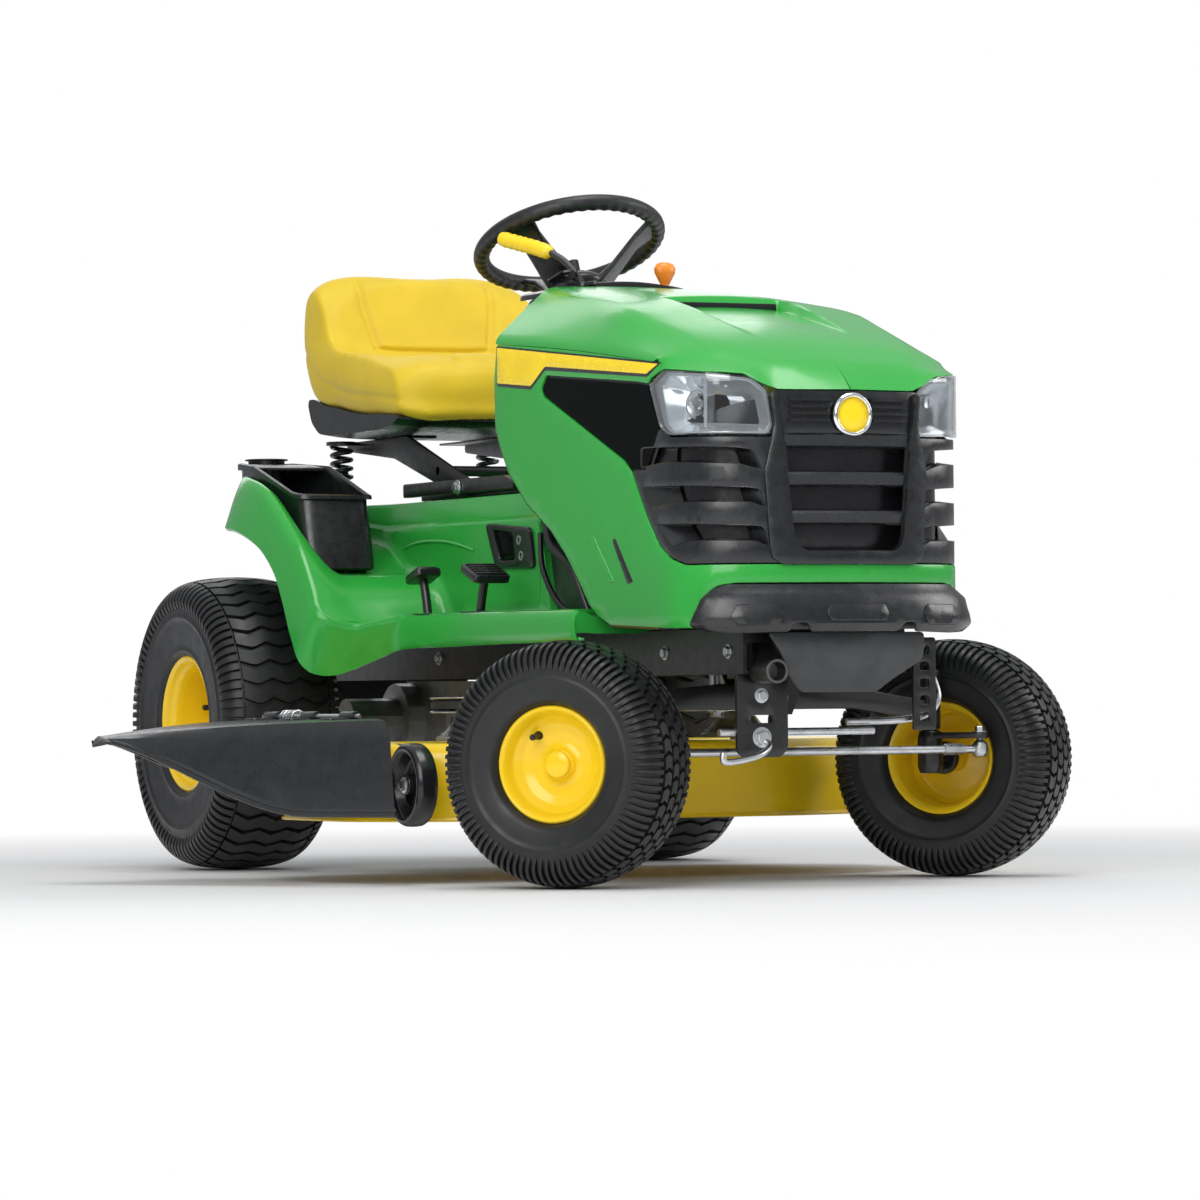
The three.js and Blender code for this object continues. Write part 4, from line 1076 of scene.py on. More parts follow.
def build_hood():
    top = loft(hood_top(), closed=False, caps=False)
    solid("hood_top_panel", both(top), GREEN, "hood", ["hood"], 34, HOOD_SKIN)
    solid("hood_side_panels", panel(side_outline(), NOSE.at, (), HOOD_SKIN, 1.5, 22), GREEN, "hood")
    # A black plate at the foot of the air inlet's rear wall. It is partly the real slot and partly painted
    # shade, standing in for the shadow in the gap under the rear edge.
    vent = plate(rectangle(-92, 92, -1122, -1110.5), 1.8, 903, 917, "z", 1.2)
    solid("hood_vent_slot_and_shade", vent, SMOOTH_PLASTIC, "hood")
    for name, *shaping in SIDE_PIECES:
        side_piece(name, *shaping)
    wider = grown(counterclockwise(rounded(WINDOW_OUTLINE, 5, 3)), 9)
    solid("hood_window_backing", both(panel(wider, raised(-5.2), (), 2.5, 0.6, 30)), SMOOTH_PLASTIC, "hood")
    edge_path = [NOSE.at(q, z, 4) for q, z in divided(SIDE_FOOT[:13], 20, closed=False)]
    solid("hood_edge_seal", both(tube(edge_path, 3.2, 8)), SMOOTH_PLASTIC, "hood")


def pocket_liner(opening, depth, rise, shrink):
    """The walls of a pocket, from its opening back to a smaller slit, as a closed skin."""
    front = counterclockwise(divided(opening, 18))
    middle = sum((p.y for p in front)) / len(front)
    left, right = min(p.x for p in front), max(p.x for p in front)
    rear_end, near_end = lerp(left, right, 0.3), lerp(left, right, 0.88)
    slit = [Vector((lerp(rear_end, near_end, (p.x - left) / (right - left)),
                    lerp(p.y, middle + rise, shrink)))
            for p in front]
    rings = []
    for loop, grow, inward in ((front, 0, 0.5), (slit, 0, depth), (slit, 2.5, depth), (front, 2.5, 2.5)):
        ring = grown(loop, grow) if grow else loop
        rings.append([NOSE.at(p.x, p.y, inward) for p in ring])
    return loft(rings, caps=False, joined=True)


def build_grille():
    """The mask with its six pockets, and everything inside its middle opening."""
    near = [(1690, 493), (1447, 493), (1414, 503), (1374, 527), (1333, 570), (1281, 641), (1330, 641),
            (1377, 701),
            (1385, 700), (1414, 687), (1586, 684), (1595, 700), (1586, 755)]
    holes = [rounded(p, 6, 3) for p in POCKETS]
    centre = [(1608, 690), (1612, 640), (1617, 560), (1622, 520), (1632, 512)]
    openings = holes + [NOSE.mirror(hole) for hole in holes] + [rounded(mirrored_too(centre), 6, 3)]
    mask = panel(rounded(mirrored_too(near), 5, 3), raised(-1), openings, 3, 1.4, 16)
    liners = [both(pocket_liner(hole, 26, 4, 0.2)) for hole in holes]
    solid("grille_mask", merge(mask, *liners), PLASTIC, "hood", ["grille"])
    build_grille_frame()
    behind = mirrored_too([(1300, 500), (1300, 690), (1600, 750)])
    solid("grille_backing", panel(behind, raised(-30), (), 2, 1, 40), SMOOTH_PLASTIC, "hood")


def build_grille_frame():
    """The raised frame round the middle of the grille, its four wide louvres and its ribs."""
    inner = rounded([(1594, 752), (1606, 664), (1618, 545), (1623, 522), (1638, 511), (1700, 511)], 8, 3,
                    closed=False)
    outer = [(1690, 490), (1600, 490), (1584, 500), (1580, 520), (1573, 633), (1589, 700), (1584, 752)]
    loop = rounded(mirrored_too(inner) + NOSE.mirror(outer) + outer, 3, 2)
    frame_ring = panel(loop, raised(7), (), 12, 3, 12)
    louvres = []
    for top, bottom in ((694, 668), (634, 609), (575, 551), (514, 492)):
        half = lerp(95, 107, (top - 514) / 180)
        section = [(top, 20), (top - 3, 3), (top - 7, 0), (bottom + 3, 2), (bottom, 6), (bottom + 3, 12),
                   (top - 6, 26), (top - 2, 26)]
        columns = (half * k / 8 for k in range(-8, 9))
        louvres.append(loft([[on_column(x, z, depth) for z, depth in section] for x in columns]))
    solid("grille_frame", merge(frame_ring, *louvres), PLASTIC, "hood")
    ribs = []
    for k in range(4):
        for side in (1, -1):
            path = [on_column(side * x, 741 - k * 10.5, -3) for x in (34 + k, 60, 85, 100)]
            ribs.append(sweep([(-2.2, -5), (2.2, -5), (2.2, 4), (-2.2, 4)], path))
    solid("grille_ribs", merge(*ribs), PLASTIC, "hood")
    build_badge()


def on_column(x, z, depth):
    """A point beside the middle of the nose, moved straight back by a depth."""
    return Vector((x, NOSE.at(NOSE.middle - abs(x), z, depth).y, z))


def build_badge():
    """A plain round badge: a metal ring around a smooth dome."""
    centre = NOSE.at(NOSE.middle, 718) + Vector((0, -2, 0))
    ring = [(26, 0), (33, 0), (34, 4), (31, 8), (28, 8), (26, 5)]
    solid("badge_ring", hollow(ring, centre, (0, -1, 0), sides=64), CHROME, "hood")
    dome = [(0, 7), (12, 6.4), (20, 4.6), (26.5, 1.5), (26.5, 0), (0, 0)]
    solid("badge_dome", turned(dome, centre, (0, -1, 0), 1.2, 56), DECAL_YELLOW, "hood")


def lamp_surface(q, z, depth):
    """The lamp's outer surface: the nose wall, swelling slightly in the middle."""
    swell = 4 * math.sin(math.pi * min(1, max(0, (q - 1350) / 236)))
    return NOSE.at(q, z, depth - swell)


LAMP_OPENING = [(1378, 767), (1404, 782), (1551, 769), (1574, 751), (1584, 704), (1575, 693), (1423, 695),
                (1402, 707)]


def build_headlights():
    """Each lamp's lens, bezel, reflector with its divider, and bulb."""
    rim_loop = rounded(LAMP_RIM, 7, 4)
    lens = panel(rim_loop, lamp_surface, (), 2.5, 1.2, 16)
    bezel = panel(grown(counterclockwise(rim_loop), -2.5), raised(-8, lamp_surface),
                  [rounded(LAMP_OPENING, 6, 3)],
                  3, 1, 16)
    across_lamp = rectangle(1478, 1484, 700, 771)
    divider = loft([[lamp_surface(q, z, depth) for q, z in across_lamp] for depth in (10, 40)])
    bulb_at = NOSE.at(1446, 737, 40)
    axis = NOSE.at(1446, 737, 0) - bulb_at
    bulb = turned([(0, 0), (10, 0), (10, 8), (7, 12), (7, 22), (4, 29), (0, 30)], bulb_at, axis, 1.5, 24)
    collar = hollow([(13, 0), (22, 6), (23, 9), (20, 9), (12, 3)], bulb_at, axis, sides=40)
    for name, side in SIDES:
        for kind, shape, material in (("lens", lens, LENS), ("bezel", bezel, LAMP_GREY),
                                      ("reflector", merge(lamp_bowl(LAMP_OPENING), divider), REFLECTOR),
                                      ("bulb", merge(bulb, collar), ZINC)):
            solid(f"headlight_{kind}_{name}", shape if side > 0 else mirrored(shape), material, "hood",
                  [f"headlight_{name}"] if kind == "lens" else ())


def lamp_bowl(opening):
    """A reflector bowl behind the lens, open to the front."""
    front = counterclockwise(divided(rounded(opening, 6, 3), 16))
    rings = []
    for share, depth in ((0, 9), (-6, 22), (-13, 34), (-22, 44)):
        rings.append([lamp_surface(p.x, p.y, depth) for p in grown(front, share)])
    centre = sum(front, Vector((0, 0))) / len(front)
    rings.append([lamp_surface(lerp(p.x, centre.x, 0.6), lerp(p.y, centre.y, 0.6), 48) for p in front])
    back = [[lamp_surface(p.x, p.y, depth + 3) for p in grown(front, share)]
            for share, depth in ((-20, 46), (0, 20), (1.5, 10))]
    return loft(rings + back, caps=False)


def bumper_surface(q, z, depth):
    """The bumper's face: flush with the nose at its top, flared out below, tucked in at its foot."""
    flare = 3 + 15 * smoothstep(459, 436, z) + 6 * smoothstep(436, 405, z) - 9 * smoothstep(404, 386, z)
    return NOSE.at(q, z, depth - flare)


def build_bumper():
    """The textured bumper under the nose, with notches in its foot and raised pads on its face."""
    top = [(1480, 440), (1494, 455), (1516, 461), (1690, 461)]
    foot = [(1690, 388), (1640, 388), (1632, 402), (1612, 402), (1606, 388), (1530, 386), (1490, 388),
            (1466, 396),
            (1466, 402)]
    loop = rounded(mirrored_too(top) + NOSE.mirror(foot) + foot, 5, 3)
    shell = panel(loop, bumper_surface, (), 5, 2.5, 12)
    pad_face = raised(2.6, bumper_surface)
    side_pad = [(1530, 398), (1520, 412), (1530, 430), (1590, 430), (1598, 414), (1590, 398)]
    pads = [panel(rounded(outline, 5, 3), pad_face, (), 4, 2.2, 12)
            for outline in (side_pad, mirrored_too([(1668, 404), (1662, 416), (1668, 430)]))]
    solid("bumper_shell", merge(shell, both(pads[0]), pads[1]), PLASTIC, "chassis", ["front_bumper"])
    core = panel(rounded(mirrored_too([(1500, 392), (1500, 450)]), 4, 3), raised(-12), (), 4, 1.5, 30)
    solid("bumper_core", core, BLACK_STEEL)


# ---------------------------------------------------------------- fenders, tunnel and footrests

TUNNEL_TOP = 632
TUNNEL_END = -738
LEDGE = 587
FENDER_LINE = [
    # crease (x, y, z), then the lip below it (x, y, z)
    ((276, 190, 624), (292, 194, 600)),
    ((304, 156, 652), (330, 160, 602)),
    ((334, 96, 670), (368, 92, 598)),
    ((372, 20, 677), (405, 15, 589)),
    ((393, -50, 672), (411, -40, 584)),
    ((400, -128, 656), (412, -110, 567)),
    ((400, -190, 624), (412, -170, 543)),
    ((400, -279, 562), (412, -226, 503)),
    ((400, -321, 520), (412, -262, 455)),
    ((400, -356, 474), (412, -298, 395)),
    ((396, -384, 432), (410, -345, 345)),
    ((340, -404, 414), (366, -372, 334)),
    ((288, -432, 427), (302, -402, 360)),
    ((268, -470, 430), (271, -440, 376)),
    ((268, -620, 429), (270, -610, 378)),
    ((268, -820, 428), (270, -815, 380)),
    ((268, -1020, 426), (270, -1020, 381)),
    ((266, -1106, 425), (268, -1112, 382)),
]
RIM_STEPS = 5


def fender_ring(crease, lip, wall):
    """One section from the lip over the crease, across the top and up the tunnel's wall.

    Forward of the tunnel there is no wall and the section ends on the footrest.
    """
    x, y, z = crease
    inner = lerp(186, 152, smoothstep(60, -120, y))
    swell = (lip + crease) / 2 + Vector((5, 0, 6))
    ring = [lip + Vector(step) for step in ((-12, 0, 1), (-3, 0, -1.5), (1, 0, 3))]
    ring += bend(lip, swell, crease, (0.25, 0.5, 0.75, 0.9))
    shoulder = Vector((x - 11, y, z + 4))
    ring += [crease.lerp(shoulder, t) + Vector((0, 0, 2.5 * math.sin(math.pi * t))) for t in (0.25, 0.6, 1)]
    sink = 104 * smoothstep(120, 40, y) * smoothstep(-384, -180, y)
    y -= 2
    floor = z - 4 - sink
    valley = Vector((inner + 30, y, floor))
    for t in (0.06, 0.12, 0.18, 0.25, 0.34, 0.55, 0.78, 1):
        place = shoulder.lerp(valley, t)
        place.z = lerp(shoulder.z, floor, smoothstep(0, 0.36, t))
        ring.append(place)
    foot = floor + (min(28, max(-40, TUNNEL_TOP - 4 - floor)) if wall else 7)
    ring += bend(valley, Vector((inner, y, floor)), Vector((inner, y, foot)), (0.25, 0.5, 0.75, 1))
    ledge, ceiling = (max(LEDGE, foot), TUNNEL_TOP) if wall else (foot, foot)
    ring += [Vector((inner - 3 * t, y, lerp(foot, ledge, t))) for t in ((0.5, 0.97) if wall else (0, 0))]
    ring.append(Vector((inner - 5, y, ledge + (2 if wall else 0))))
    ring += [Vector((inner - inset, y, lerp(ledge, ceiling, t)))
             for inset, t in ((12, 0.15), (17, 0.8), (21, 0.97), (28, 1))]
    ring.append(Vector((0 if wall else inner - 30, y, ceiling)))
    return ring


def fender_shell():
    """Half of the moulding, as sections from the rear end of the fender to the front of the footrest."""
    creases = spline([a for a, _ in FENDER_LINE], RIM_STEPS)
    lips = spline([b for _, b in FENDER_LINE], RIM_STEPS)
    rings = []
    for before, crease, lip in zip([creases[0]] + creases, creases, lips):
        if before.y > TUNNEL_END >= crease.y:
            last_wall = before.lerp(crease, (before.y - TUNNEL_END) / (before.y - crease.y))
            ring = fender_ring(last_wall, lip, True)
            rings.append(ring[:9] + [Vector((p.x, TUNNEL_END + 1, p.z)) for p in ring[9:]])
        rings.append(fender_ring(crease, lip, crease.y > TUNNEL_END))
    first, last = rings[0], rings[-1]
    rings.append([p + Vector((-3, -6, -3)) for p in last])
    rings.append([Vector((p.x - 4, p.y - 8, min(p.z, 384 + 0.2 * (p.z - 382)))) for p in last])
    rings.insert(0, [Vector((p.x * 0.98, p.y + 4, max(598, p.z - 5))) for p in first])
    rings.insert(0, [Vector((p.x * 0.975, p.y + 6, min(p.z, 596))) for p in first])
    return loft(rings, closed=False, caps=False)


def build_fenders():
    solid("fender_and_footrest_shell", both(fender_shell()), GREEN, "chassis", ["fender_deck"], 40, 4)
    arc = spline([(-134, 536), (-200, 555), (-281, 561), (-380, 556), (-473, 541)], 10)
    wave = sweep([(-2.5, -2), (2.5, -2), (2.5, 1.5), (0, 3.2), (-2.5, 1.5)],
                 [(-151, p.x, p.y) for p in arc])
    solid("tunnel_side_rib", both(wave), GREEN)
    rows = [plate(rectangle(176, 250, y, y + 16), 6, 424, 431.6, "z", 1.4) for y in range(-470, -1086, -28)]
    solid("footrest_grip_pads", both(merge(*rows)), GREEN)
    build_fuel_window()
    build_tray()
    build_engine_side()


FUEL_NECK = (330, -60, 0), (0, 0, 1)


def build_fuel_window():
    """The bezel and sight window in the right side of the tunnel, and the filler in the left fender."""
    outline = rounded([(-529, 584), (-708, 572), (-725, 504), (-571, 506)], 16, 4)
    hole = rounded([(-560, 572), (-640, 566), (-650, 520), (-590, 520)], 8, 3)
    solid("fuel_window_bezel", panel(outline, level("x", -157), [hole], 6, 2.5, 14), SMOOTH_PLASTIC)
    solid("fuel_window_glass", panel(hole, level("x", -152), (), 2, 0.8, 14), WINDOW)
    marks = [panel(circle(8, 18, at), level("x", -158.2), [circle(5, 16, at)], 1, 0.3, 8)
             for at in ((-668, 552), (-676, 526))]
    solid("fuel_window_marks", merge(*marks), ZINC)
    cuff = hollow([(22, 662), (34, 666), (34, 672), (28, 677), (22, 677)], *FUEL_NECK, sides=48)
    solid("fuel_filler_cuff", cuff, SMOOTH_PLASTIC)


HOLDER = Vector((-302, 78))
HOLDER_RADIUS = 33


def bin_outline(inset, tilt):
    """The bin seen from above: straight sides and front, and a round end about the drink holder."""
    reach = HOLDER_RADIUS + 11 - inset
    end = [HOLDER + Vector((reach * math.cos(a), reach * math.sin(a)))
           for a in (math.radians(k * 15) for k in range(0, 13))]
    front = -205 + tilt + inset
    return end + rounded([(inset - 360, -20), (inset - 352, front + 6), (-228 - inset, front - 6),
                          (-228 - inset, -20)], 26, 5, closed=False)


def bin_height(y):
    """How far the rim has climbed from the bin's front towards the shelf."""
    return 66 * smoothstep(-230, 40, y)


def build_tray():
    """The bin let into the right fender, with the raised shelf and drink holder behind it."""
    rings = []
    for z, tilt, inset in ((512, -34, 10), (516, -34, 2), (560, -20, 0), (620, -4, 0), (638, 0, -1),
                           (642, 1, -4), (640, 1, -8), (634, 0, -8), (634, 0, -1), (620, -1, 4),
                           (560, -17, 4), (522, -28, 8), (519, -28, 16)):
        loop = bin_outline(inset, tilt)
        front = min(p.y for p in loop)
        depth = lerp(-60, 118, smoothstep(530, 625, z)) - front
        rim = smoothstep(600, 640, z)
        rings.append([Vector((p.x, front + (p.y - front) * depth / (122 - front),
                              z + rim * bin_height(p.y)))
                      for p in loop])
    shelf = panel([p for p in bin_outline(2, 0) if p.y > -21], lambda x, y,
                  d: Vector((x, y, 638 + bin_height(y) - d)),
                  [circle(HOLDER_RADIUS, 36, HOLDER)], 4, 1, 12)
    cup = hollow([(32, 712), (38, 712), (38, 714.5), (34, 715), (32, 714), (29, 660), (0.01, 658),
                  (0.01, 655),
                  (31, 655)], (*HOLDER, 0), (0, 0, 1), sides=48)
    solid("storage_bin", loft(rings), PLASTIC, "chassis", ["storage_tray"])
    solid("storage_shelf", merge(shelf, cup), PLASTIC)


def build_engine_side():
    """Black shrouds and pipes seen between the hood, the footrest and the frame."""
    shroud = plate([(-748, 628), (-748, 440), (-1110, 400), (-1190, 420), (-900, 600)],
                   12, -140, -134, "x", 2)
    hose = tube(spline([(-150, -760, 600), (-158, -800, 540), (-150, -860, 500), (-140, -900, 430)], 8),
                9, 14)
    cable = tube(spline([(-160, -760, 560), (-170, -790, 500), (-166, -850, 440), (-150, -940, 410)], 8),
                 5, 10)
    solid("engine_side_shroud", both(merge(shroud, hose, cable)), BLACK_STEEL)
    wall = plate([(-180, 600), (-228, 712), (-230, 860), (-146, 942), (146, 942), (230, 860), (228, 712),
                  (180, 600)], 14, -806, -798, "y", 2, 4)
    solid("engine_bay_bulkhead", wall, BLACK_STEEL)


# ---------------------------------------------------------------- seat

SEAT_HALF = 214
SEAT_MIDDLE = -70


def cushion_section(share):
    """The cushion's outline in (y, z) at a share of the half width, lower and slimmer at the rim."""
    rise = 1 - share ** 4
    return [
        (-292, 772), (-304, 800), (-298, lerp(836, 858, rise)), (-264, lerp(858, 874, rise)),
        (-180, lerp(878, 867, rise)), (-80, lerp(892, 861, rise)), (-12, lerp(906, 865, rise)),
        (34, lerp(936, 898, rise)), (62, lerp(984, 968, rise)), (84, lerp(1016, 1030, rise)),
        (108, lerp(1030, 1052, rise)), (136, lerp(1024, 1047, rise)), (152, 1004), (158, 950), (150, 890),
        (116, 828), (60, 804), (-100, 778),
    ]


def cushion_start():
    """A closed cushion slightly smaller than the finished one, before it is inflated."""
    rings = []
    for k in range(-16, 17):
        share = math.sin(k / 16 * math.pi / 2)
        pull = 1 - 0.11 * abs(share) ** 9
        section = spline(cushion_section(abs(share)), 4, closed=True)
        rings.append([seat_place((SEAT_HALF - 8) * share, p, pull, 900) for p in section])
    return loft(rings)


def seat_place(x, p, pull, height):
    """A section's point, drawn in by pull towards the seat's middle and a height."""
    return Vector((x, SEAT_MIDDLE + (p.x - SEAT_MIDDLE) * pull, height + (p.y - height) * pull))


def evenly_meshed(piece):
    """Rebuilds a closed mesh from small even faces."""
    remesh = piece.modifiers.new("even_mesh", "REMESH")
    remesh.mode = "VOXEL"
    remesh.voxel_size = 0.0055
    apply_modifiers(piece)


def inflate(piece):
    """Puffs a closed mesh up with a short cloth simulation under air pressure."""
    frames, most = 20, 0.012
    rest = [v.co.copy() for v in piece.data.vertices]
    cloth = piece.modifiers.new("foam", "CLOTH")
    cloth.settings.use_pressure = True
    cloth.settings.uniform_pressure_force = 3.0
    cloth.settings.effector_weights.gravity = 0
    cloth.settings.tension_stiffness = 18
    cloth.settings.compression_stiffness = 18
    cloth.settings.quality = 4
    scene = bpy.context.scene
    for timed in (scene, cloth.point_cache):
        timed.frame_start = 1
        timed.frame_end = frames
    for step in range(1, frames + 1):
        scene.frame_set(step)
    apply_modifiers(piece)
    scene.frame_set(1)
    moves = [v.co - start for v, start in zip(piece.data.vertices, rest)]
    for move, start, vertex in zip(evened(moves, piece.data.edges, 45), rest, piece.data.vertices):
        vertex.co = start + move * min(1, most / max(move.length, 1e-6))


def evened(moves, edges, rounds):
    """Averages every vertex's movement with its neighbours', so that the puffed skin stays even."""
    around = [[] for _ in moves]
    for edge in edges:
        first, second = edge.vertices
        around[first].append(second)
        around[second].append(first)
    for _ in range(rounds):
        moves = [sum((moves[k] for k in near), moves[i]) / (len(near) + 1) for i, near in enumerate(around)]
    return moves


def apply_modifiers(piece):
    """Replaces a piece's mesh by the result of its modifiers and removes them."""
    graph = bpy.context.evaluated_depsgraph_get()
    made = bpy.data.meshes.new_from_object(piece.evaluated_get(graph))
    old = piece.data
    piece.modifiers.clear()
    piece.data = made
    bpy.data.meshes.remove(old)


def press_creases(piece):
    """Sewn creases: grooves round the back panel, across the seat pan and along the side seams."""
    def panel_half(z):
        return lerp(106, 126, smoothstep(880, 1010, z))

    def groove(distance, width):
        return math.exp(-(distance / width) ** 2)
    for vertex in piece.data.vertices:
        place = (vertex.co - DATUM) / MM
        x, y, z = abs(place.x), place.y, place.z
        if -20 < y < 112 and z > 892:
            depth = 0.0
            if z > 905:
                depth = 9 * groove(x - panel_half(z), 6) * smoothstep(1046, 1020, z)
            if x < panel_half(905) + 6:
                depth = max(depth, 10 * groove(z - 905 - 0.0014 * max(0, x - 60) ** 2, 6))
            vertex.co.y += depth * MM
        elif z > 850 and y < -20:
            line = x - lerp(112, 96, smoothstep(-60, -290, y))
            vertex.co.z -= 7 * groove(line, 7) * smoothstep(-300, -262, y) * MM
        wide = smoothstep(SEAT_HALF - 26, SEAT_HALF - 8, x)
        if wide > 0 and y > -310:
            vertex.co.x -= math.copysign(3.5 * wide * groove(z - seam_height(y), 4) * MM, place.x)


def seam_height(y):
    return table([(-306, 800), (-200, 812), (-60, 826), (40, 850), (100, 884), (160, 930)], y)


def build_seat():
    cushion = solid("seat_cushion_cover", cushion_start(), VINYL, "seat", ["seat_cushion"], 60)
    evenly_meshed(cushion)
    inflate(cushion)
    smooth = cushion.modifiers.new("relax", "SMOOTH")
    smooth.iterations = 6
    smooth.factor = 0.5
    apply_modifiers(cushion)
    press_creases(cushion)
    finer = cushion.modifiers.new("finer", "SUBSURF")
    finer.levels = 1
    apply_modifiers(cushion)
    cushion.data.materials.clear()
    cushion.data.materials.append(VINYL)
    cushion.data.shade_smooth()
    build_seat_shell()
    build_seat_base()


def build_seat_shell():
    """The black shell under the cushion, rising behind it."""
    section = rounded([(-286, 768), (-262, 757), (-200, 750), (40, 749), (92, 755), (128, 778), (144, 812),
                       (139, 822), (112, 822), (64, 808), (-100, 784), (-280, 774)], 12, 3)
    rings = []
    for share in (k / 10 for k in range(-10, 11)):
        pull = 1 - 0.07 * abs(share) ** 5
        rings.append([seat_place(201 * share, p, pull, 835) for p in section])
    solid("seat_shell_moulding", loft(rings), PLASTIC, "seat", ["seat_shell"])


SPRING_X = 142
SPRING_Y = 118


def build_seat_base():
    """Rails, tilting arms, hinge bolts and coil springs under the seat."""
    hinge = pivot("seat_tilt")
    arm = plate([(-386, 640), (-380, 664), (-120, 749), (150, 749), (150, 733), (-60, 712), (-340, 634)],
                8, 111, 118, "x")
    rail = plate([(112, -120), (112, 150), (60, 150), (60, -120)], 6, 745.6, 749.4, "z", 1)
    cross = bar((-118, -250, 683), (118, -250, 683), 9)
    pads = [turned([(0, 742), (27, 742), (27, 749), (0, 749)], (s * SPRING_X, SPRING_Y, 0), (0, 0, 1))
            for s in (1, -1)]
    solid("seat_tilt_frame", merge(both(merge(arm, rail)), cross, *pads), BLACK_STEEL, "seat_bracket",
          ["seat_bracket"])
    rails = plate([(-594, 640), (-594, 652), (-560, 664), (-135, 664), (-135, 640)], 5, 122, 134, "x", 2)
    base = plate([(-560, 634), (-560, 646), (-150, 646), (-150, 634)], 3, 70, 106, "x", 2)
    solid("seat_slide_rails", merge(both(rails), both(base)), BLACK_STEEL, "chassis", ["seat_hinge_pin"])
    bolts = [bolt((s * 135, hinge.y, hinge.z), (s, 0, 0), 9) for s in (1, -1)]
    pin = bar((-132, hinge.y, hinge.z), (132, hinge.y, hinge.z), 8)
    solid("seat_hinge_bolts", merge(*bolts, pin), ZINC)
    for name, side in SIDES:
        solid(f"seat_coil_spring_{name}", tube(coil(side * SPRING_X, SPRING_Y, 642, 741), 4.2, 10),
              BLACK_STEEL, "seat_bracket", [f"seat_spring_{name}"])
        post = turned([(0, 633), (24, 633), (24, 644), (12, 650), (12, 700), (0, 700)],
                      (side * SPRING_X, SPRING_Y, 0), (0, 0, 1))
        solid(f"seat_spring_post_{name}", post, SMOOTH_PLASTIC, "seat_bracket")


def coil(x, y, low, high):
    """The path of a seat spring's wire, about an upright line."""
    turns, radius, steps = 6.5, 17, 104
    return [(x + radius * math.cos(2 * math.pi * turns * t), y + radius * math.sin(2 * math.pi * turns * t),
             lerp(low, high, t)) for t in (k / steps for k in range(steps + 1))]


# ---------------------------------------------------------------- console and controls

def dash_height(x):
    return 976 - 20 * (x / 146) ** 2


def console_ring(y, top, half):
    """A section of the console at a distance forward: square shoulders over upright sides."""
    foot = 634
    low = half - 14
    outline = [(-low, foot), (-half, top - 90), (-half + 6, top - 20), (-half + 30, top), (half - 30, top),
               (half - 6, top - 20), (half, top - 90), (low, foot)]
    return [Vector((p.x, y, p.y)) for p in rounded(outline, 14, 3)]


def steering_line():
    """The middle of the steering wheel and the upward direction of its column."""
    axis = turn_axis("steering_wheel_turn")
    return pivot("steering_wheel_turn"), axis if axis.z > 0 else -axis


def build_console():
    """The dash behind the hood: a thin rim round its top, a sloping face and a steering boot."""
    rings = [console_ring(*place) for place in (
        (-776, 962, 148), (-750, 963, 152), (-700, 963, 152), (-650, 960, 140), (-610, 952, 126),
        (-580, 936, 114), (-562, 900, 100))]
    solid("dash_console_shell", loft(rings), PLASTIC, "chassis", ["dash_console"])
    boot = turned([(0, -220), (74, -220), (62, -160), (50, -130), (38, -112), (0, -112)],
                  *steering_line(), 5, 40)
    solid("steering_boot", boot, PLASTIC)
    top = panel(rectangle(-146, 146, -765, -640, 26, 4), lambda x, y, d: Vector((x, y, dash_height(x) - d)),
                (), 9, 3, 16)
    solid("dash_top_plate", top, SMOOTH_PLASTIC)
    tab = panel(rounded([(-118, -700), (-118, -760), (-96, -770), (-78, -740), (-84, -700)], 8, 3),
                lambda x, y, d: Vector((x, y, 986 - (y + 730) * 0.2 - d)), [circle(6, 18, (-100, -742))],
                4, 1, 8)
    solid("dash_key_tab", tab, PLASTIC)
    slots = []
    for x, rear, front in ((100, -750, -650), (-74, -775, -672)):
        opening = rectangle(x - 9, x + 9, rear + 8, front - 8, 4)
        slots.append(panel(rectangle(x - 17, x + 17, rear, front, 12, 4),
                           lambda a, b, d: Vector((a, b, dash_height(a) + 3 - d)), [opening], 6, 1.5, 10))
    solid("lever_slot_plates", merge(*slots), PLASTIC)
    lock = turned([(0, 0), (17, 0), (17, 4), (13, 7), (0, 7)], (-85, -566, 850), (0, 1, 0), 1.2, 40)
    solid("ignition_lock_ring", lock, ZINC)


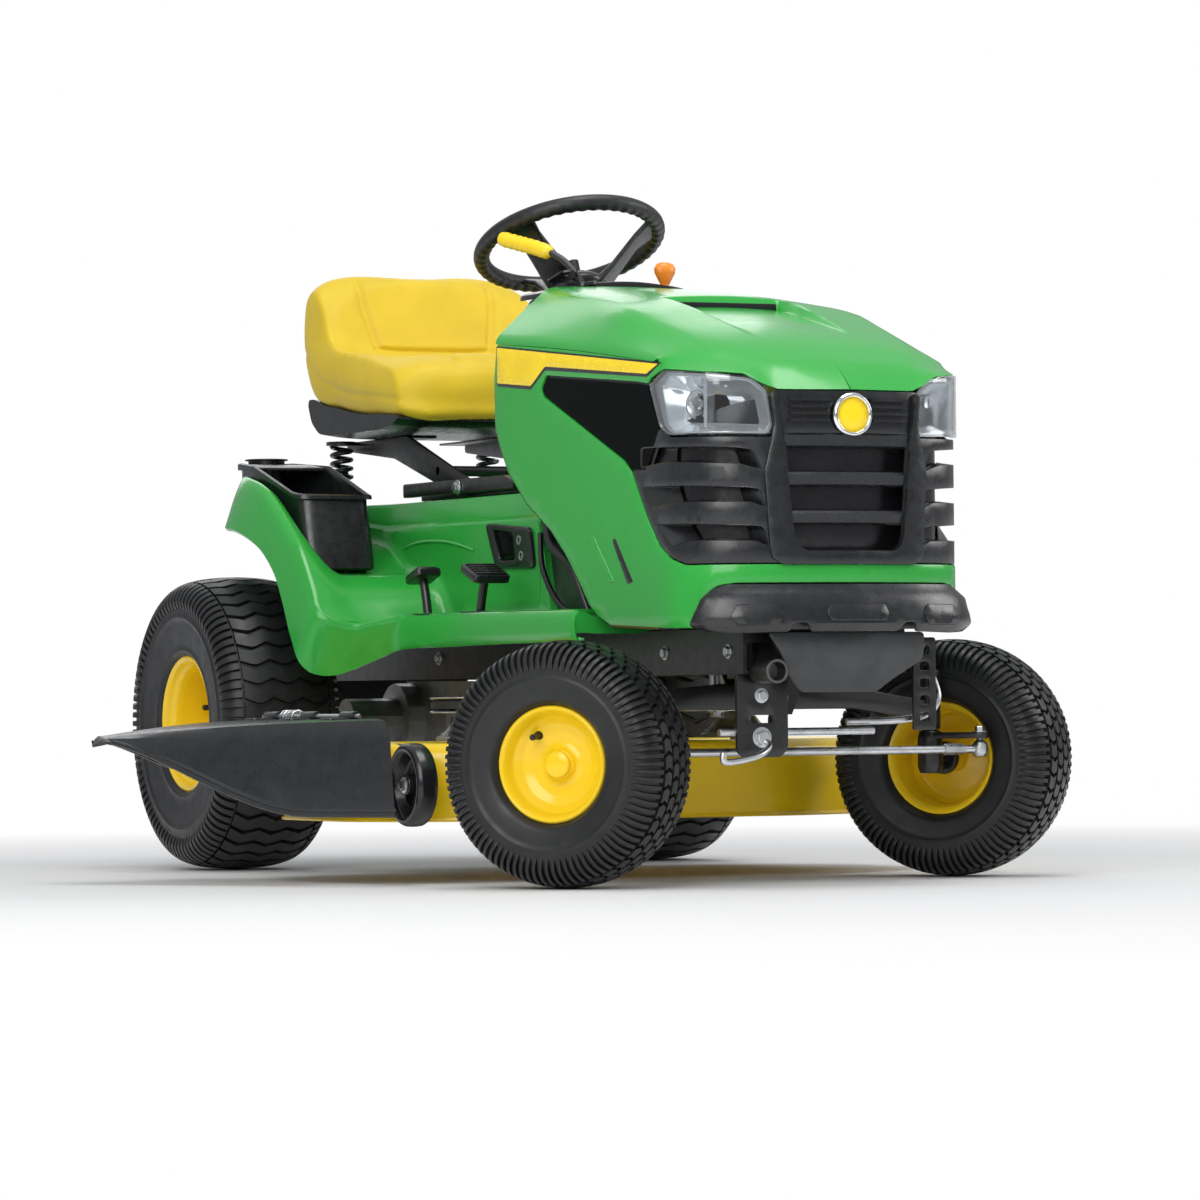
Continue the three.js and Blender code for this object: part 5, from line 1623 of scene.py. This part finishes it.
def build_steering_wheel():
    centre, axis = steering_line()
    first, second = across(axis)
    sections = []
    around, about = 192, 20
    rim_radius, grip = 150, 13.5
    for i in range(around):
        angle = 2 * math.pi * i / around
        out = first * math.cos(angle) + second * math.sin(angle)
        ring = []
        for turn in (2 * math.pi * k / about for k in range(about)):
            reach = grip + 0.9 * math.cos(angle * 48) * smoothstep(0.1, -0.9, math.sin(turn))
            ring.append(centre + out * (rim_radius + reach * math.cos(turn))
                        + axis * (reach * math.sin(turn)))
        sections.append(ring)
    rim_shape = loft(sections, caps=False, joined=True)
    solid("steering_wheel_rim", rim_shape, RUBBER_GRIP, "steering_wheel", ["steering_wheel"])
    spokes = []
    for turn in (math.radians(-62), math.radians(62), math.pi):
        out = -first * math.cos(turn) + second * math.sin(turn)
        wide = axis.cross(out)
        rings = []
        for t in (0, 0.12, 0.3, 0.5, 0.7, 0.88, 1):
            drop = -88 * (1 - smoothstep(-0.05, 1.0, t)) - 2
            half = lerp(30, 22, smoothstep(0, 0.7, t)) + 14 * smoothstep(0.75, 1, t)
            thick = lerp(7, 5.5, t)
            rings.append([centre + out * lerp(26, 146, t) + wide * p.x + axis * (drop + p.y)
                          for p in rectangle(-half, half, -thick, thick, 4.5)])
        spokes.append(loft(rings))
    hub = turned([(0, -108), (30, -108), (44, -96), (50, -84), (42, -72), (20, -68), (0, -67)],
                 centre, axis, 4, 56)
    cap = turned([(0, -69), (28, -69), (27, -63), (18, -60), (0, -59)], centre, axis, 2, 48)
    solid("steering_wheel_spokes", merge(*spokes, hub), PLASTIC, "steering_wheel")
    solid("steering_wheel_cap", cap, SMOOTH_PLASTIC, "steering_wheel")


def build_levers():
    """The throttle, blade engagement and deck lift levers."""
    knob = loft([[Vector((100 + p.x * half_x, -700 + p.y * half_y, z)) for p in circle(1, 24)]
                 for z, half_x, half_y in ((974, 6, 5), (983, 11, 8), (996, 18, 12), (1004, 19, 12),
                                           (1011, 15, 9), (1014, 8, 5))])
    stem = plate(rectangle(97, 103, -706, -694), 2, 938, 980, "z", 0.8)
    solid("throttle_knob", merge(knob, stem), ORANGE, "throttle", ["throttle_lever"])
    stem_path = spline([(-70, -745, 940), (-74, -742, 975), (-92, -718, 1010), (-115, -690, 1030),
                        (-130, -660, 1038)], 8)
    solid("pto_lever_stem", tube(stem_path, 5.5, 12), BLACK_STEEL, "pto")
    grip_path = spline([(-106, -700, 1024), (-124, -668, 1036), (-140, -634, 1046), (-156, -600, 1056)], 10)
    sizes = []
    for t in (i / (len(grip_path) - 1) for i in range(len(grip_path))):
        ends = min(1, 6 * t + 0.35, 7 * (1 - t) + 0.4)
        sizes.append(ends * (1 + 0.06 * math.cos(t * 60) * smoothstep(0.15, 0.25, t)))
    solid("pto_lever_grip", tube(grip_path, 12.5, 20, scale=sizes), YELLOW_GRIP, "pto", ["pto_lever"])
    rod_path = spline([(235, -262, 474), (235, -262, 600), (235, -285, 668), (235, -320, 716)], 8)
    solid("deck_lift_rod", tube(rod_path, 6, 12), BLACK_STEEL, "lift_lever", ["lift_lever"])
    handle_path = spline([(235, -314, 706), (235, -330, 733), (235, -346, 762)], 10)
    sizes = [1 + 0.08 * math.cos(i * 2.1) for i in range(len(handle_path))]
    sizes[0] = sizes[-1] = 0.6
    solid("deck_lift_grip", tube(handle_path, 14, 20, scale=sizes), SMOOTH_PLASTIC, "lift_lever")
    slot = panel(rectangle(222, 248, -360, -214, 8), lambda x, y, d: Vector((x, y, lever_floor(y) - d)),
                 [rectangle(229, 241, -346, -226, 4)], 7, 1.5, 12)
    solid("deck_lift_slot", slot, PLASTIC)


def lever_floor(y):
    """Height of the hollow in the left fender that the deck lift lever rises from."""
    return table([(-360, 472), (-321, 497), (-279, 509), (-214, 513)], y)


def build_pedals():
    """Each pedal's curved arm, ribbed pad and the slot plate its arm passes through."""
    for name, x, y, pad_y, pad_z, width, length, tilt in (
            ("forward_pedal", -245, -700, -728, 496, 66, 62, 0.35),
            ("reverse_pedal", -245, -500, -474, 498, 46, 56, -0.3),
            ("brake_pedal", 208, -715, -752, 500, 80, 66, 0.4)):
        path = spline([(x, y, 400), (x, (y * 2 + pad_y) / 3, 440), (x, (y + pad_y * 2) / 3, 470),
                       (x, pad_y, pad_z - 6)], 8)
        solid(f"{name}_arm", tube(path, 7.5), BLACK_STEEL, name, [name])
        shapes = [plate(rectangle(-width / 2, width / 2, -length / 2, length / 2), 9, -8, 6, "z", 3, 4)]
        for rib in (lerp(9 - length / 2, length / 2 - 9, k / 4) for k in range(5)):
            shapes.append(plate(rectangle(6 - width / 2, width / 2 - 6, rib - 2.4, rib + 2.4),
                                2, 4, 9, "z", 1))
        turn = Matrix.Translation((x, pad_y, pad_z)) @ Matrix.Rotation(tilt, 4, "X")
        solid(f"{name}_pad", moved(merge(*shapes), turn), PLASTIC, name)
        boot = panel(rectangle(x - 20, x + 20, y - 52, y + 40, 10), level("z", 434, -1),
                     [rectangle(x - 11, x + 11, y - 42, y + 30, 5)], 5, 1.5, 12)
        solid(f"{name}_slot", boot, PLASTIC)


# ---------------------------------------------------------------- mower deck

DECK_PLAN = [
    (-544, -560), (-544, -850), (-478, -932), (-400, -990), (180, -990), (430, -900), (544, -770),
    (544, -540), (430, -398), (300, -352), (180, -352), (0, -392), (-200, -436), (-430, -462),
]
BLADE_AT = (("left", 262, -630), ("right", -262, -715))


UP = (0, 0, 1)
BELT_HEIGHT = 281


def deck_loop(shift):
    return grown(counterclockwise(rounded(DECK_PLAN, 46, 6)), shift)


def build_deck():
    """The pressed steel deck: a rolled lip, a drawn side, a rounded shoulder and a stepped top."""
    outside = [(0, 97), (4, 97), (5.5, 99.5), (4, 102), (0.5, 104), (0, 110), (-1, 196), (-5, 209),
               (-14, 218),
               (-26, 221), (-70, 221), (-80, 218), (-92, 212), (-100, 211)]
    inside_again = [(-104, 207), (-90, 208), (-76, 214), (-66, 217), (-28, 217), (-17, 214), (-9, 206),
                    (-5, 195),
                    (-4, 110), (-4, 98)]
    rings = [[Vector((p.x, p.y, z)) for p in deck_loop(shift)] for shift, z in outside + inside_again]
    shell = loft(rings, caps=False, joined=True)
    top = panel(deck_loop(-97), level("z", 211, -1), [circle(40, 32, (x, y)) for _, x, y in BLADE_AT],
                4, 0.5, 34)
    dome = rounded([(40, 208), (40, 214), (128, 214), (142, 209), (142, 205), (124, 208)], 4, 3)
    domes = [lathe(dome, (x, y, 0), UP, 72, joined=True) for _, x, y in BLADE_AT]
    solid("mower_deck_shell", merge(shell, top, *domes), YELLOW, "deck", ["mower_deck"])
    arm = plate([(-1018, 148), (-1018, 166), (-995, 200), (-900, 221), (-780, 221), (-780, 205),
                 (-1002, 148)],
                6, 469, 478, "x", 2)
    pins = [bar((s * 472, -1010, 157), (s * 524, -1010, 157), 7) for s in (1, -1)]
    solid("gauge_wheel_arms", merge(both(arm), *pins), BLACK_STEEL, "deck")
    brackets = []
    for y in (-905, -480):
        ear = plate([(y - 18, 214), (y - 18, 262), (y + 18, 262), (y + 18, 214)], 10, 188, 193, "x", 1.2, 4)
        brackets += [both(ear)] + [bolt((s * 193, y, 246), (s, 0, 0), 7) for s in (1, -1)]
    front = plate([(-1000, 212), (-1000, 246), (-960, 262), (-930, 262), (-930, 212)],
                  8, -60, -54, "x", 1.2, 4)
    solid("deck_lift_brackets", merge(*brackets, front), BLACK_STEEL, "deck")
    heads = [bolt((x + 50 * math.cos(a), y + 50 * math.sin(a), 230.5), UP, 6)
             for _, x, y in BLADE_AT for a in (0.8, 2.4, 3.9, 5.5)]
    solid("deck_bolts", merge(*heads), ZINC, "deck")
    port = turned([(0, 0), (13, 0), (13, 16), (9, 20), (0, 20)], (300, -985, 190), (0, -1, 0), 2, 24)
    solid("deck_wash_port", port, SMOOTH_PLASTIC, "deck")


def build_drives():
    """Spindle housings, pulleys and blades, and the belt that joins them to the engine."""
    housing = [(12.9, 0), (62, 0), (62, 7), (50, 10), (36, 18), (30, 30), (29, 43.5), (12.9, 43.5)]
    rib = slab([(28, 224), (58, 224), (56, 233), (34, 258), (28, 258)], -2.4, 2.4, "y", 0.8)
    for name, x, y in BLADE_AT:
        here = Matrix.Translation((x, y, 0))
        ribs = [moved(rib, here @ Matrix.Rotation(k * math.pi / 3, 4, "Z")) for k in range(6)]
        body = hollow(housing, (x, y, 222.4), UP, 2, 56)
        solid(f"spindle_housing_{name}", merge(body, *ribs), CAST, "deck", [f"deck_spindle_{name}"])
        spinning = merge(pulley(x, y, 60, 72), bar((x, y, 128), (x, y, 294), 12.4, 24),
                         bolt((x, y, 294), UP, 12))
        solid(f"spindle_pulley_{name}", spinning, ZINC, f"blade_{name}", [f"deck_pulley_{name}"])
        turn = here @ Matrix.Rotation(0.5 if name == "left" else 1.1, 4, "Z")
        solid(f"mower_blade_{name}", moved(blade_shape(), turn), ZINC, f"blade_{name}", [f"blade_{name}"])
    crank = pivot("crank_spin")
    x, y, _ = crank
    drive = merge(pulley(x, y, 50, 62), bar((x, y, 275), (x, y, 394), 13, 24),
                  bolt((x, y, 268), (0, 0, -1), 12))
    solid("drive_pulley", drive, ZINC, "crankshaft", ["engine_pulley"])
    belt = solid("drive_belt", belt_shape(crank), BELT_RUBBER, None, ["deck_belt"])
    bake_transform(belt)


def pulley(x, y, groove, flange):
    profile = [(12.4, -12), (groove - 14, -12), (groove - 8, -12.8), (flange, -12.8), (flange, -10.8),
               (groove, -6.5), (groove, 6.5), (flange, 10.8), (flange, 12.8), (groove - 8, 12.8),
               (groove - 14, 6), (24, 6), (22, 13), (12.4, 13)]
    return hollow(profile, (x, y, BELT_HEIGHT), UP, 0.8)


def blade_shape():
    """A two-ended blade with lifting wings and its bolt."""
    flat = plate([(-262, -26), (192, -30), (262, -14), (262, 26), (-192, 30), (-262, 14)],
                 4, 118, 123, "z", 1)
    wings = []
    for s in (1, -1):
        rings = []
        for x in (182, 200, 230, 261):
            lift = 14 * smoothstep(182, 206, x)
            rings.append([Vector((s * x, s * y, z)) for y, z in (
                (14, 121), (26, 121), (26 + lift * 0.6, 122 + lift), (22 + lift * 0.5, 123 + lift))])
        wings.append(loft(rings))
    return merge(flat, *wings, bolt((0, 0, 118), (0, 0, -1), 14, 7))


def belt_shape(crank):
    """A V-belt round the outside of the three pulleys."""
    circles = [(crank.xy, 51)] + [(Vector((x, y)), 61) for _, x, y in BLADE_AT]
    path = []
    for i, (centre, radius) in enumerate(circles):
        start = tangent_angle(circles[i - 1], (centre, radius))
        end = tangent_angle((centre, radius), circles[(i + 1) % 3])
        while end < start:
            end += 2 * math.pi
        path += [centre + Vector((math.cos(a), math.sin(a))) * radius
                 for a in (lerp(start, end, k / 14) for k in range(15))]
    path = divided(path, 24)
    rings = []
    for i, point in enumerate(path):
        way = (path[(i + 1) % len(path)] - path[i - 1]).normalized()
        rings.append([Vector((point.x + way.y * a, point.y - way.x * a, BELT_HEIGHT + b))
                      for a, b in ((0, -3.4), (8, -5.2), (9, -4.6), (9, 4.6), (8, 5.2), (0, 3.4))])
    return loft(rings, caps=False, joined=True)


def tangent_angle(first, second):
    """The direction, from each centre, of the outer tangent between two circles taken anticlockwise."""
    way = second[0] - first[0]
    return math.atan2(way.y, way.x) - math.pi / 2 + math.asin((first[1] - second[1]) / way.length)


def build_chute():
    """The discharge deflector: a scoop with a domed top, a rolled edge and a hinge."""
    hinge = pivot("chute_hinge")
    rings = []
    for k in range(-2, 18):
        t = max(0, k / 17)
        before = max(0, -k)
        front = lerp(-1068, -634, t) + 5 * before ** 2
        top = lerp(259, 234, t) + 5 * math.sin(math.pi * t) - 3 * before ** 2
        low = lerp(112, 227, smoothstep(0.3, 1.12, t) / smoothstep(0.3, 1.12, 1))
        rings.append(chute_ring(lerp(-556, -862, t) + 1.6 * before, front, lerp(-502, -548, t), top, low))
    shell = loft(rings, closed=False, caps=False)
    solid("chute_scoop", shell, CHUTE_PLASTIC, "chute", ["discharge_chute"], 34, 4)
    shapes = [tube([ring[0] for ring in rings], 4.5, 10)]
    x, z = hinge.x - 2, hinge.z + 1
    for y in (-900, -740, -580):
        leaf = plate(rectangle(x - 44, x - 2, y - 20, y + 20), 6, 254, 263, "z", 2)
        shapes += [bar((x, y - 26, z), (x, y + 26, z), 8.5, 20), leaf]
    solid("chute_hinge_knuckles", merge(*shapes), CHUTE_PLASTIC, "chute")
    spring = tube([(x + 10 * math.cos(a * 0.8), -690 + a * 1.6, z + 10 * math.sin(a * 0.8))
                   for a in range(40)], 1.6, 8)
    pin = bar((x, -940, z), (x, -540, z), 4)
    solid("chute_hinge_pin", merge(spring, pin), ZINC, "deck")


def chute_ring(x, front, rear, top, low):
    """A section of the chute from its lower front edge over the top to the rear edge."""
    rise = top - low
    face = [(front - 4, low), (front - 5, low + min(7, 0.1 * rise)), (front + 2, low + min(13, 0.2 * rise)),
            (front + 10, low + 0.5 * rise), (front + 16, low + 0.8 * rise)]
    shoulder = [(front + 22, top - 0.08 * rise - 2), (front + 38, top), (front + 66, top + 2)]
    roof = [(lerp(front + 66, rear - 30, t), top + 2) for t in (0.33, 0.66, 1)]
    back = [(rear - 10, top - 2), (rear, top - 12), (rear, lerp(top, low, 0.6))]
    return [Vector((x, y, z)) for y, z in face + shoulder + roof + back]


def build_gauge_wheels():
    profile = [(8, -18), (14, -18), (16, -12), (50, -15), (60, -18), (65, -12), (66, 0), (65, 12), (60, 18),
               (54, 18), (48, 12), (42, -6), (18, -9), (16, 14), (8, 14)]
    for name, side in SIDES:
        centre = pivot(f"gauge_{name}_spin")
        wheel = on_wheel(hollow(profile, *HUB, 3), centre, (side, 0, 0))
        solid(f"gauge_wheel_bowl_{name}", wheel, SMOOTH_PLASTIC, f"gauge_wheel_{name}",
              [f"gauge_wheel_{name}"])
        cap = bolt((centre.x + side * 14, centre.y, centre.z), (side, 0, 0), 9)
        solid(f"gauge_wheel_bolt_{name}", cap, ZINC, "deck")


# ---------------------------------------------------------------- engine

def build_engine():
    """Sump, finned cylinder heads, blower housing with its screen, air cleaner, cap and leads."""
    y = pivot("crank_spin").y
    base = box_of("engine")[0].z
    sump = plate(rectangle(-124, 124, y - 119, y + 129), 20, base, 518, "z", 5, 4)
    flange = plate(rectangle(-125, 125, y - 120, y + 130), 22, base, base + 14, "z", 2, 4)
    head = plate(rectangle(44, 150, y - 176, y - 66), 12, 442, 558, "z", 4)
    fins = [plate(rectangle(46, 171, y - 195, y - 64), 14, z, z + 4, "z", 1) for z in range(448, 553, 15)]
    cover = plate(rectangle(150, 168, y - 172, y - 82), 8, 452, 548, "z", 4)
    solid("engine_block_and_heads", merge(sump, flange, both(merge(head, cover, *fins))), CAST, "chassis",
          ["engine"])
    blower = hollow([(40, 0), (150, 0), (157, 8), (157, 98), (150, 122), (128, 140), (98, 148), (94, 164),
                     (86, 164), (86, 146), (40, 130)], (0, y, 515), UP, 4)
    vane = slab(rectangle(20, 88, -1.8, 1.8), 668, 677, "z", 0.6)
    vanes = [moved(vane, Matrix.Translation((0, y, 0)) @ Matrix.Rotation(k * math.pi / 9, 4, "Z"))
             for k in range(18)]
    filter_case = plate(rectangle(62, 166, y + 62, y + 188), 20, 532, 642, "z", 9, 4)
    lid = plate(rectangle(66, 162, y + 66, y + 184), 16, 640, 648, "z", 3, 4)
    lead_path = [(110, y - 186, 500), (120, y - 190, 560), (104, y - 140, 600), (96, y - 110, 620)]
    lead = tube(spline(lead_path, 8), 4, 12)
    boot = turned([(0, 0), (9, 0), (9, 24), (5, 30), (0, 30)], (110, y - 172, 500), (0, -1, 0), 2, 24)
    solid("engine_blower_housing", merge(blower, *vanes, filter_case, lid, both(lead), both(boot)),
          SMOOTH_PLASTIC)
    screen = turned([(0, 148), (84, 148), (84, 152), (30, 158), (0, 158)], (0, y, 512), UP, 1.5, 56)
    knob = turned([(0, 0), (14, 0), (12, 10), (0, 11)], (114, y + 125, 647), UP, 2, 24)
    neck = bar((-112, y + 110, 510), (-112, y + 110, 560), 13)
    solid("engine_screen_and_neck", merge(screen, knob, neck), ZINC)
    cap = turned([(0, 0), (18, 0), (18, 12), (13, 17), (0, 17)], (-112, y + 110, 560), UP, 2, 32)
    solid("engine_oil_cap", cap, DECAL_YELLOW)


# ---------------------------------------------------------------- chassis and front end

def build_frame_details():
    """Brackets, rods and bolts on the frame, the guard under the bumper, the fuel tank and the exhaust."""
    hanger = rounded([(-142, 324), (-142, 206), (-130, 197), (-66, 197), (-54, 210), (-54, 324)], 6, 3)
    sheet = panel(hanger, level("y", -1431), [circle(9, 20, (-100, 292)),
                                              rectangle(-120, -80, 250, 262, 5)],
                  6, 1.2, 14)
    flange = plate(rectangle(-142, -54, -1430, -1396), 4, 318, 324.6, "z", 1)
    solid("deck_hanger_plate", merge(sheet, flange), BLACK_STEEL, "chassis", ["deck_hanger"])
    hook = spline([(-98, -1426, 226), (-98, -1452, 214), (-130, -1472, 199), (-184, -1476, 191),
                   (-188, -1476, 206)], 10)
    bent = spline([(60, -1405, 250), (150, -1415, 252), (196, -1420, 262), (214, -1420, 286),
                   (216, -1400, 318)], 8)
    straight = bar((-168, -1420, 236), (100, -1420, 236), 6)
    solid("front_hook_and_rod", merge(tube(hook, 5.2, 12), straight, tube(bent, 5.5, 12)), ZINC)
    bolts = [bolt((-100, -1431, 228), (0, -1, 0), 11), bolt((-100, -1431, 292), (0, -1, 0), 8)]
    bolts += [bolt((s * 140, y, 360), (s, 0, 0), 8)
              for s in (1, -1) for y in (-1400, -1180, -940, -640, -300)]
    solid("chassis_bolts", merge(*bolts), ZINC)
    guard = rounded([(-124, 388), (146, 388), (146, 344), (78, 296), (-52, 296), (-84, 332)], 8, 3)
    leaning = panel(guard, lambda x, z, d: Vector((x, -1503 + 30 * smoothstep(366, 306, z) + d, z)),
                    (), 4, 1.5, 14)
    solid("skid_plate_sheet", leaning, GREY_STEEL, "chassis", ["skid_plate"])
    holes = [rectangle(172, 188, z, z + 14, 5) for z in (250, 276, 302, 328, 354)]
    strap = panel(rectangle(160, 200, 236, 380, 5), level("y", -1440), holes, 5, 1, 12)
    tank = plate(rectangle(-127, 127, -759, -441), 26, 437, 605, "z", 12, 4)
    bands = [slab(rectangle(-129, 129, y - 12, y + 12), 434.5, 606.5, "z", 8) for y in (-690, -510)]
    solid("fuel_tank_moulding", merge(tank, *bands), SMOOTH_PLASTIC, "chassis", ["fuel_tank"])
    well = turned([(0, 556), (54, 556), (50, 570), (36, 600), (31, 664), (0, 664)], *FUEL_NECK, 4)
    solid("fuel_filler_well", well, GREEN)
    solid("front_perforated_bracket", strap, BLACK_STEEL)
    build_muffler()
    build_axle()


def build_muffler():
    """The muffler's can lies across the frame; its pipe bends down and out under the bumper."""
    middle = (5, -1368, 446), (1, 0, 0)
    can = turned([(0, -115), (44, -115), (46, -108), (46, 108), (44, 115), (0, 115)], *middle, 5, 56)
    seam = hollow([(45, -3), (48, -3), (48, 3), (45, 3)], *middle, 0.8, 56)
    pipe = spline([(-84, -1392, 424), (-87, -1412, 372), (-100, -1440, 338), (-106, -1462, 330),
                   (-107, -1494, 329)], 8)
    outlet = hollow([(14.5, 0), (14.5, 60), (18.6, 60), (18.6, 0)], (-107, -1440, 329), (0, -1, 0), 1, 40)
    solid("muffler_and_pipe", merge(can, seam, tube(pipe[:-6], 18, 24), outlet),
          EXHAUST, "chassis", ["muffler"])


KINGPIN_X = 295
REST_STEER = math.radians(39)


def build_axle():
    """The cast front axle, its spindles and the tie rod with its ball joints."""
    y = pivot("front_axle_pivot").y
    height, stub_height, rod_height = 288, 190, 204
    beam = plate([(-284, 248), (-150, 270), (150, 270), (284, 248), (284, 282), (150, 304), (60, 312),
                  (-60, 312), (-150, 304), (-284, 282)], 12, y - 14, y + 14, "y", 4, 4)
    tubes = [turned([(0, 0), (17, 0), (17, 94), (0, 94)], (s * KINGPIN_X, y, 236), UP, 3, 32)
             for s in (1, -1)]
    boss = turned([(0, -29), (25, -29), (25, 29), (0, 29)], (0, y, height), (0, 1, 0), 3, 40)
    solid("front_axle_beam", merge(beam, boss, *tubes), BLACK_STEEL, "front_axle", ["front_axle"])
    heads = [bolt((0, y + s * 37, height), (0, s, 0), 15) for s in (-1, 1)]
    shaft = bar((0, y - 40, height), (0, y + 40, height), 9.5)
    solid("axle_pivot_hardware", merge(*heads, shaft), ZINC, "chassis", ["axle_pivot_bolt"])
    arm = plate([(-16, 8), (16, 8), (13, -85), (8, -99), (-8, -99), (-13, -85)], 6, 221, 231, "z", 2, 4)
    post = turned([(0, 166), (16, 166), (20, 176), (20, 224), (17, 233), (9, 236), (9, 340), (0, 340)],
                  *HUB, 2, 36)
    for name, side in SIDES:
        swing = Matrix.Translation((side * KINGPIN_X, y, 0)) @ Matrix.Rotation(REST_STEER, 4, "Z")
        stub = bar((0, 0, stub_height), (side * 132, 0, stub_height), 9.4, 28)
        collar = turned([(0, 0), (16, 0), (16, 9), (0, 9)], (side * 46, 0, stub_height), (side, 0, 0),
                        1.5, 32)
        solid(f"steering_spindle_{name}", moved(merge(arm, stub, post, collar), swing), BLACK_STEEL,
              f"steer_{name}", [f"spindle_{name}"])
    reach = 85
    ends = [Vector((s * KINGPIN_X + reach * math.sin(REST_STEER), y - reach * math.cos(REST_STEER),
                    rod_height))
            for s in (1, -1)]
    shapes = [bar(*ends, 6.4, 20)]
    ball_joint = [(0, -12), (9, -12), (13, -6), (13, 6), (9, 12), (5, 14), (5, 30), (0, 30)]
    for end, other in (ends, ends[::-1]):
        shapes += [turned(ball_joint, end, UP, 2, 28), bolt(end + Vector((0, 0, 27)), UP, 8, 8),
                   bar(end.lerp(other, 0.05), end.lerp(other, 0.11), 9, 6)]
    solid("tie_rod_assembly", merge(*shapes), ZINC, "tie_rod", ["tie_rod"])
    sector = plate([(-60, -1200), (60, -1200), (84, -1120), (0, -1090), (-84, -1120)],
                   10, 326, 332, "z", 1.5, 4)
    solid("steering_sector", sector, ZINC)


# ---------------------------------------------------------------- stage

def build_stage():
    """A pale floor that fades into the white surroundings, soft lights and the camera."""
    mesh = bpy.data.meshes.new("floor")
    reach = 60.0
    corners = [(-reach, -reach), (reach, -reach), (reach, reach), (-reach, reach)]
    mesh.from_pydata([(x, y, cad_low.z - 0.0005) for x, y in corners], [], [(0, 1, 2, 3)])
    mesh.materials.append(floor_material())
    placed("floor", mesh)
    white_world()
    soft_light("key_light", (-2.9, -4.0, 2.2), 3.0, 122)
    soft_light("top_light", (0.2, -1.7, 3.8), 2.0, 70)
    soft_light("side_light", (3.4, -2.4, 1.8), 1.6, 45)
    soft_light("rear_light", (1.2, 4.0, 2.6), 3.2, 40)
    place_camera()


def floor_material():
    material, tree, shader = blank("pale_floor")
    place = add(tree, "ShaderNodeTexCoord").outputs["Object"]
    middle = add(tree, "ShaderNodeVectorMath", {0: place, 1: (0, -0.8, 0)}, operation="SUBTRACT")
    away = add(tree, "ShaderNodeVectorMath", {0: middle.outputs[0]}, operation="LENGTH").outputs["Value"]
    seen = add(tree, "ShaderNodeLightPath").outputs["Is Camera Ray"]
    # Painted shade: near the machine the floor shows the camera a darker grey (0.61) than the 0.9 it
    # bounces to the lights. It lightens into white glow between 1.3 and 3.4 m from the machine, painting
    # the soft grey shade round it.
    fade = add(tree, "ShaderNodeMath", {0: ramp(tree, away, 0, 1, 1.3, 3.4), 1: seen}, operation="MULTIPLY")
    speck = ramp(tree, noise(tree, 40, 5), 0.8, 0.83)
    feed(tree, shader, Base_Color=ramp(tree, seen, 0.9, 0.61, 0, 1), Roughness=speck)
    glow = add(tree, "ShaderNodeEmission", {"Color": (1, 1, 1, 1), "Strength": 1.0})
    mix_to_surface(tree, fade.outputs[0], shader, glow, "Material Output")
    return material


def white_world():
    """White to the camera; to the lighting, bright overhead and dim near the horizon."""
    world = bpy.data.worlds.new("studio")
    bpy.context.scene.world = world
    world.use_nodes = True
    tree = world.node_tree
    seen = add(tree, "ShaderNodeLightPath").outputs["Is Camera Ray"]
    light = tree.nodes["Background"]
    light.inputs["Color"].default_value = (0.94, 0.96, 1, 1)
    way = add(tree, "ShaderNodeTexCoord").outputs["Generated"]
    height = add(tree, "ShaderNodeSeparateXYZ", {"Vector": way}).outputs["Z"]
    tree.links.new(ramp(tree, height, 0.28, 0.66, 0.0, 0.7), light.inputs["Strength"])
    white = add(tree, "ShaderNodeBackground", {"Color": (1, 1, 1, 1), "Strength": 1.0})
    mix_to_surface(tree, seen, light, white, "World Output")


def soft_light(name, place, size, watts):
    """A square softbox aimed at the middle of the machine."""
    lamp = bpy.data.lights.new(name, "AREA")
    lamp.energy = watts
    lamp.size = size
    holder = placed(name, lamp)
    holder.location = place
    aim = (cad_low + cad_high) / 2 - Vector(place)
    holder.rotation_euler = aim.to_track_quat("-Z", "Y").to_euler()


def place_camera():
    """Long lens at the front right corner, just above the floor, with the frame shifted."""
    azimuth, rise, roll = math.radians(25.26), math.radians(-1.25), math.radians(-0.54)
    distance = 9.535
    target = spot((0, -600, 500))
    back = Vector((-math.sin(azimuth) * math.cos(rise), -math.cos(azimuth) * math.cos(rise),
                   math.sin(rise)))
    right = Vector((math.cos(azimuth), -math.sin(azimuth), 0))
    upward = back.cross(right)
    tilted_right = right * math.cos(roll) + upward * math.sin(roll)
    tilted_up = upward * math.cos(roll) - right * math.sin(roll)
    lens = bpy.data.cameras.new("camera")
    lens.lens = 171.15
    lens.sensor_width = 36
    lens.shift_x = 0.0103
    lens.shift_y = -0.0228
    lens.clip_end = 100
    camera = placed("camera", lens)
    turn = Matrix((tilted_right, tilted_up, back)).transposed().to_4x4()
    camera.matrix_world = Matrix.Translation(target + back * distance) @ turn
    bpy.context.scene.camera = camera
    bpy.context.scene.view_settings.view_transform = "Standard"


dress_frame()
build_wheels()
build_hood()
build_grille()
build_headlights()
build_bumper()
build_fenders()
build_seat()
build_console()
build_steering_wheel()
build_levers()
build_pedals()
build_deck()
build_drives()
build_chute()
build_gauge_wheels()
build_engine()
build_frame_details()
build_stage()
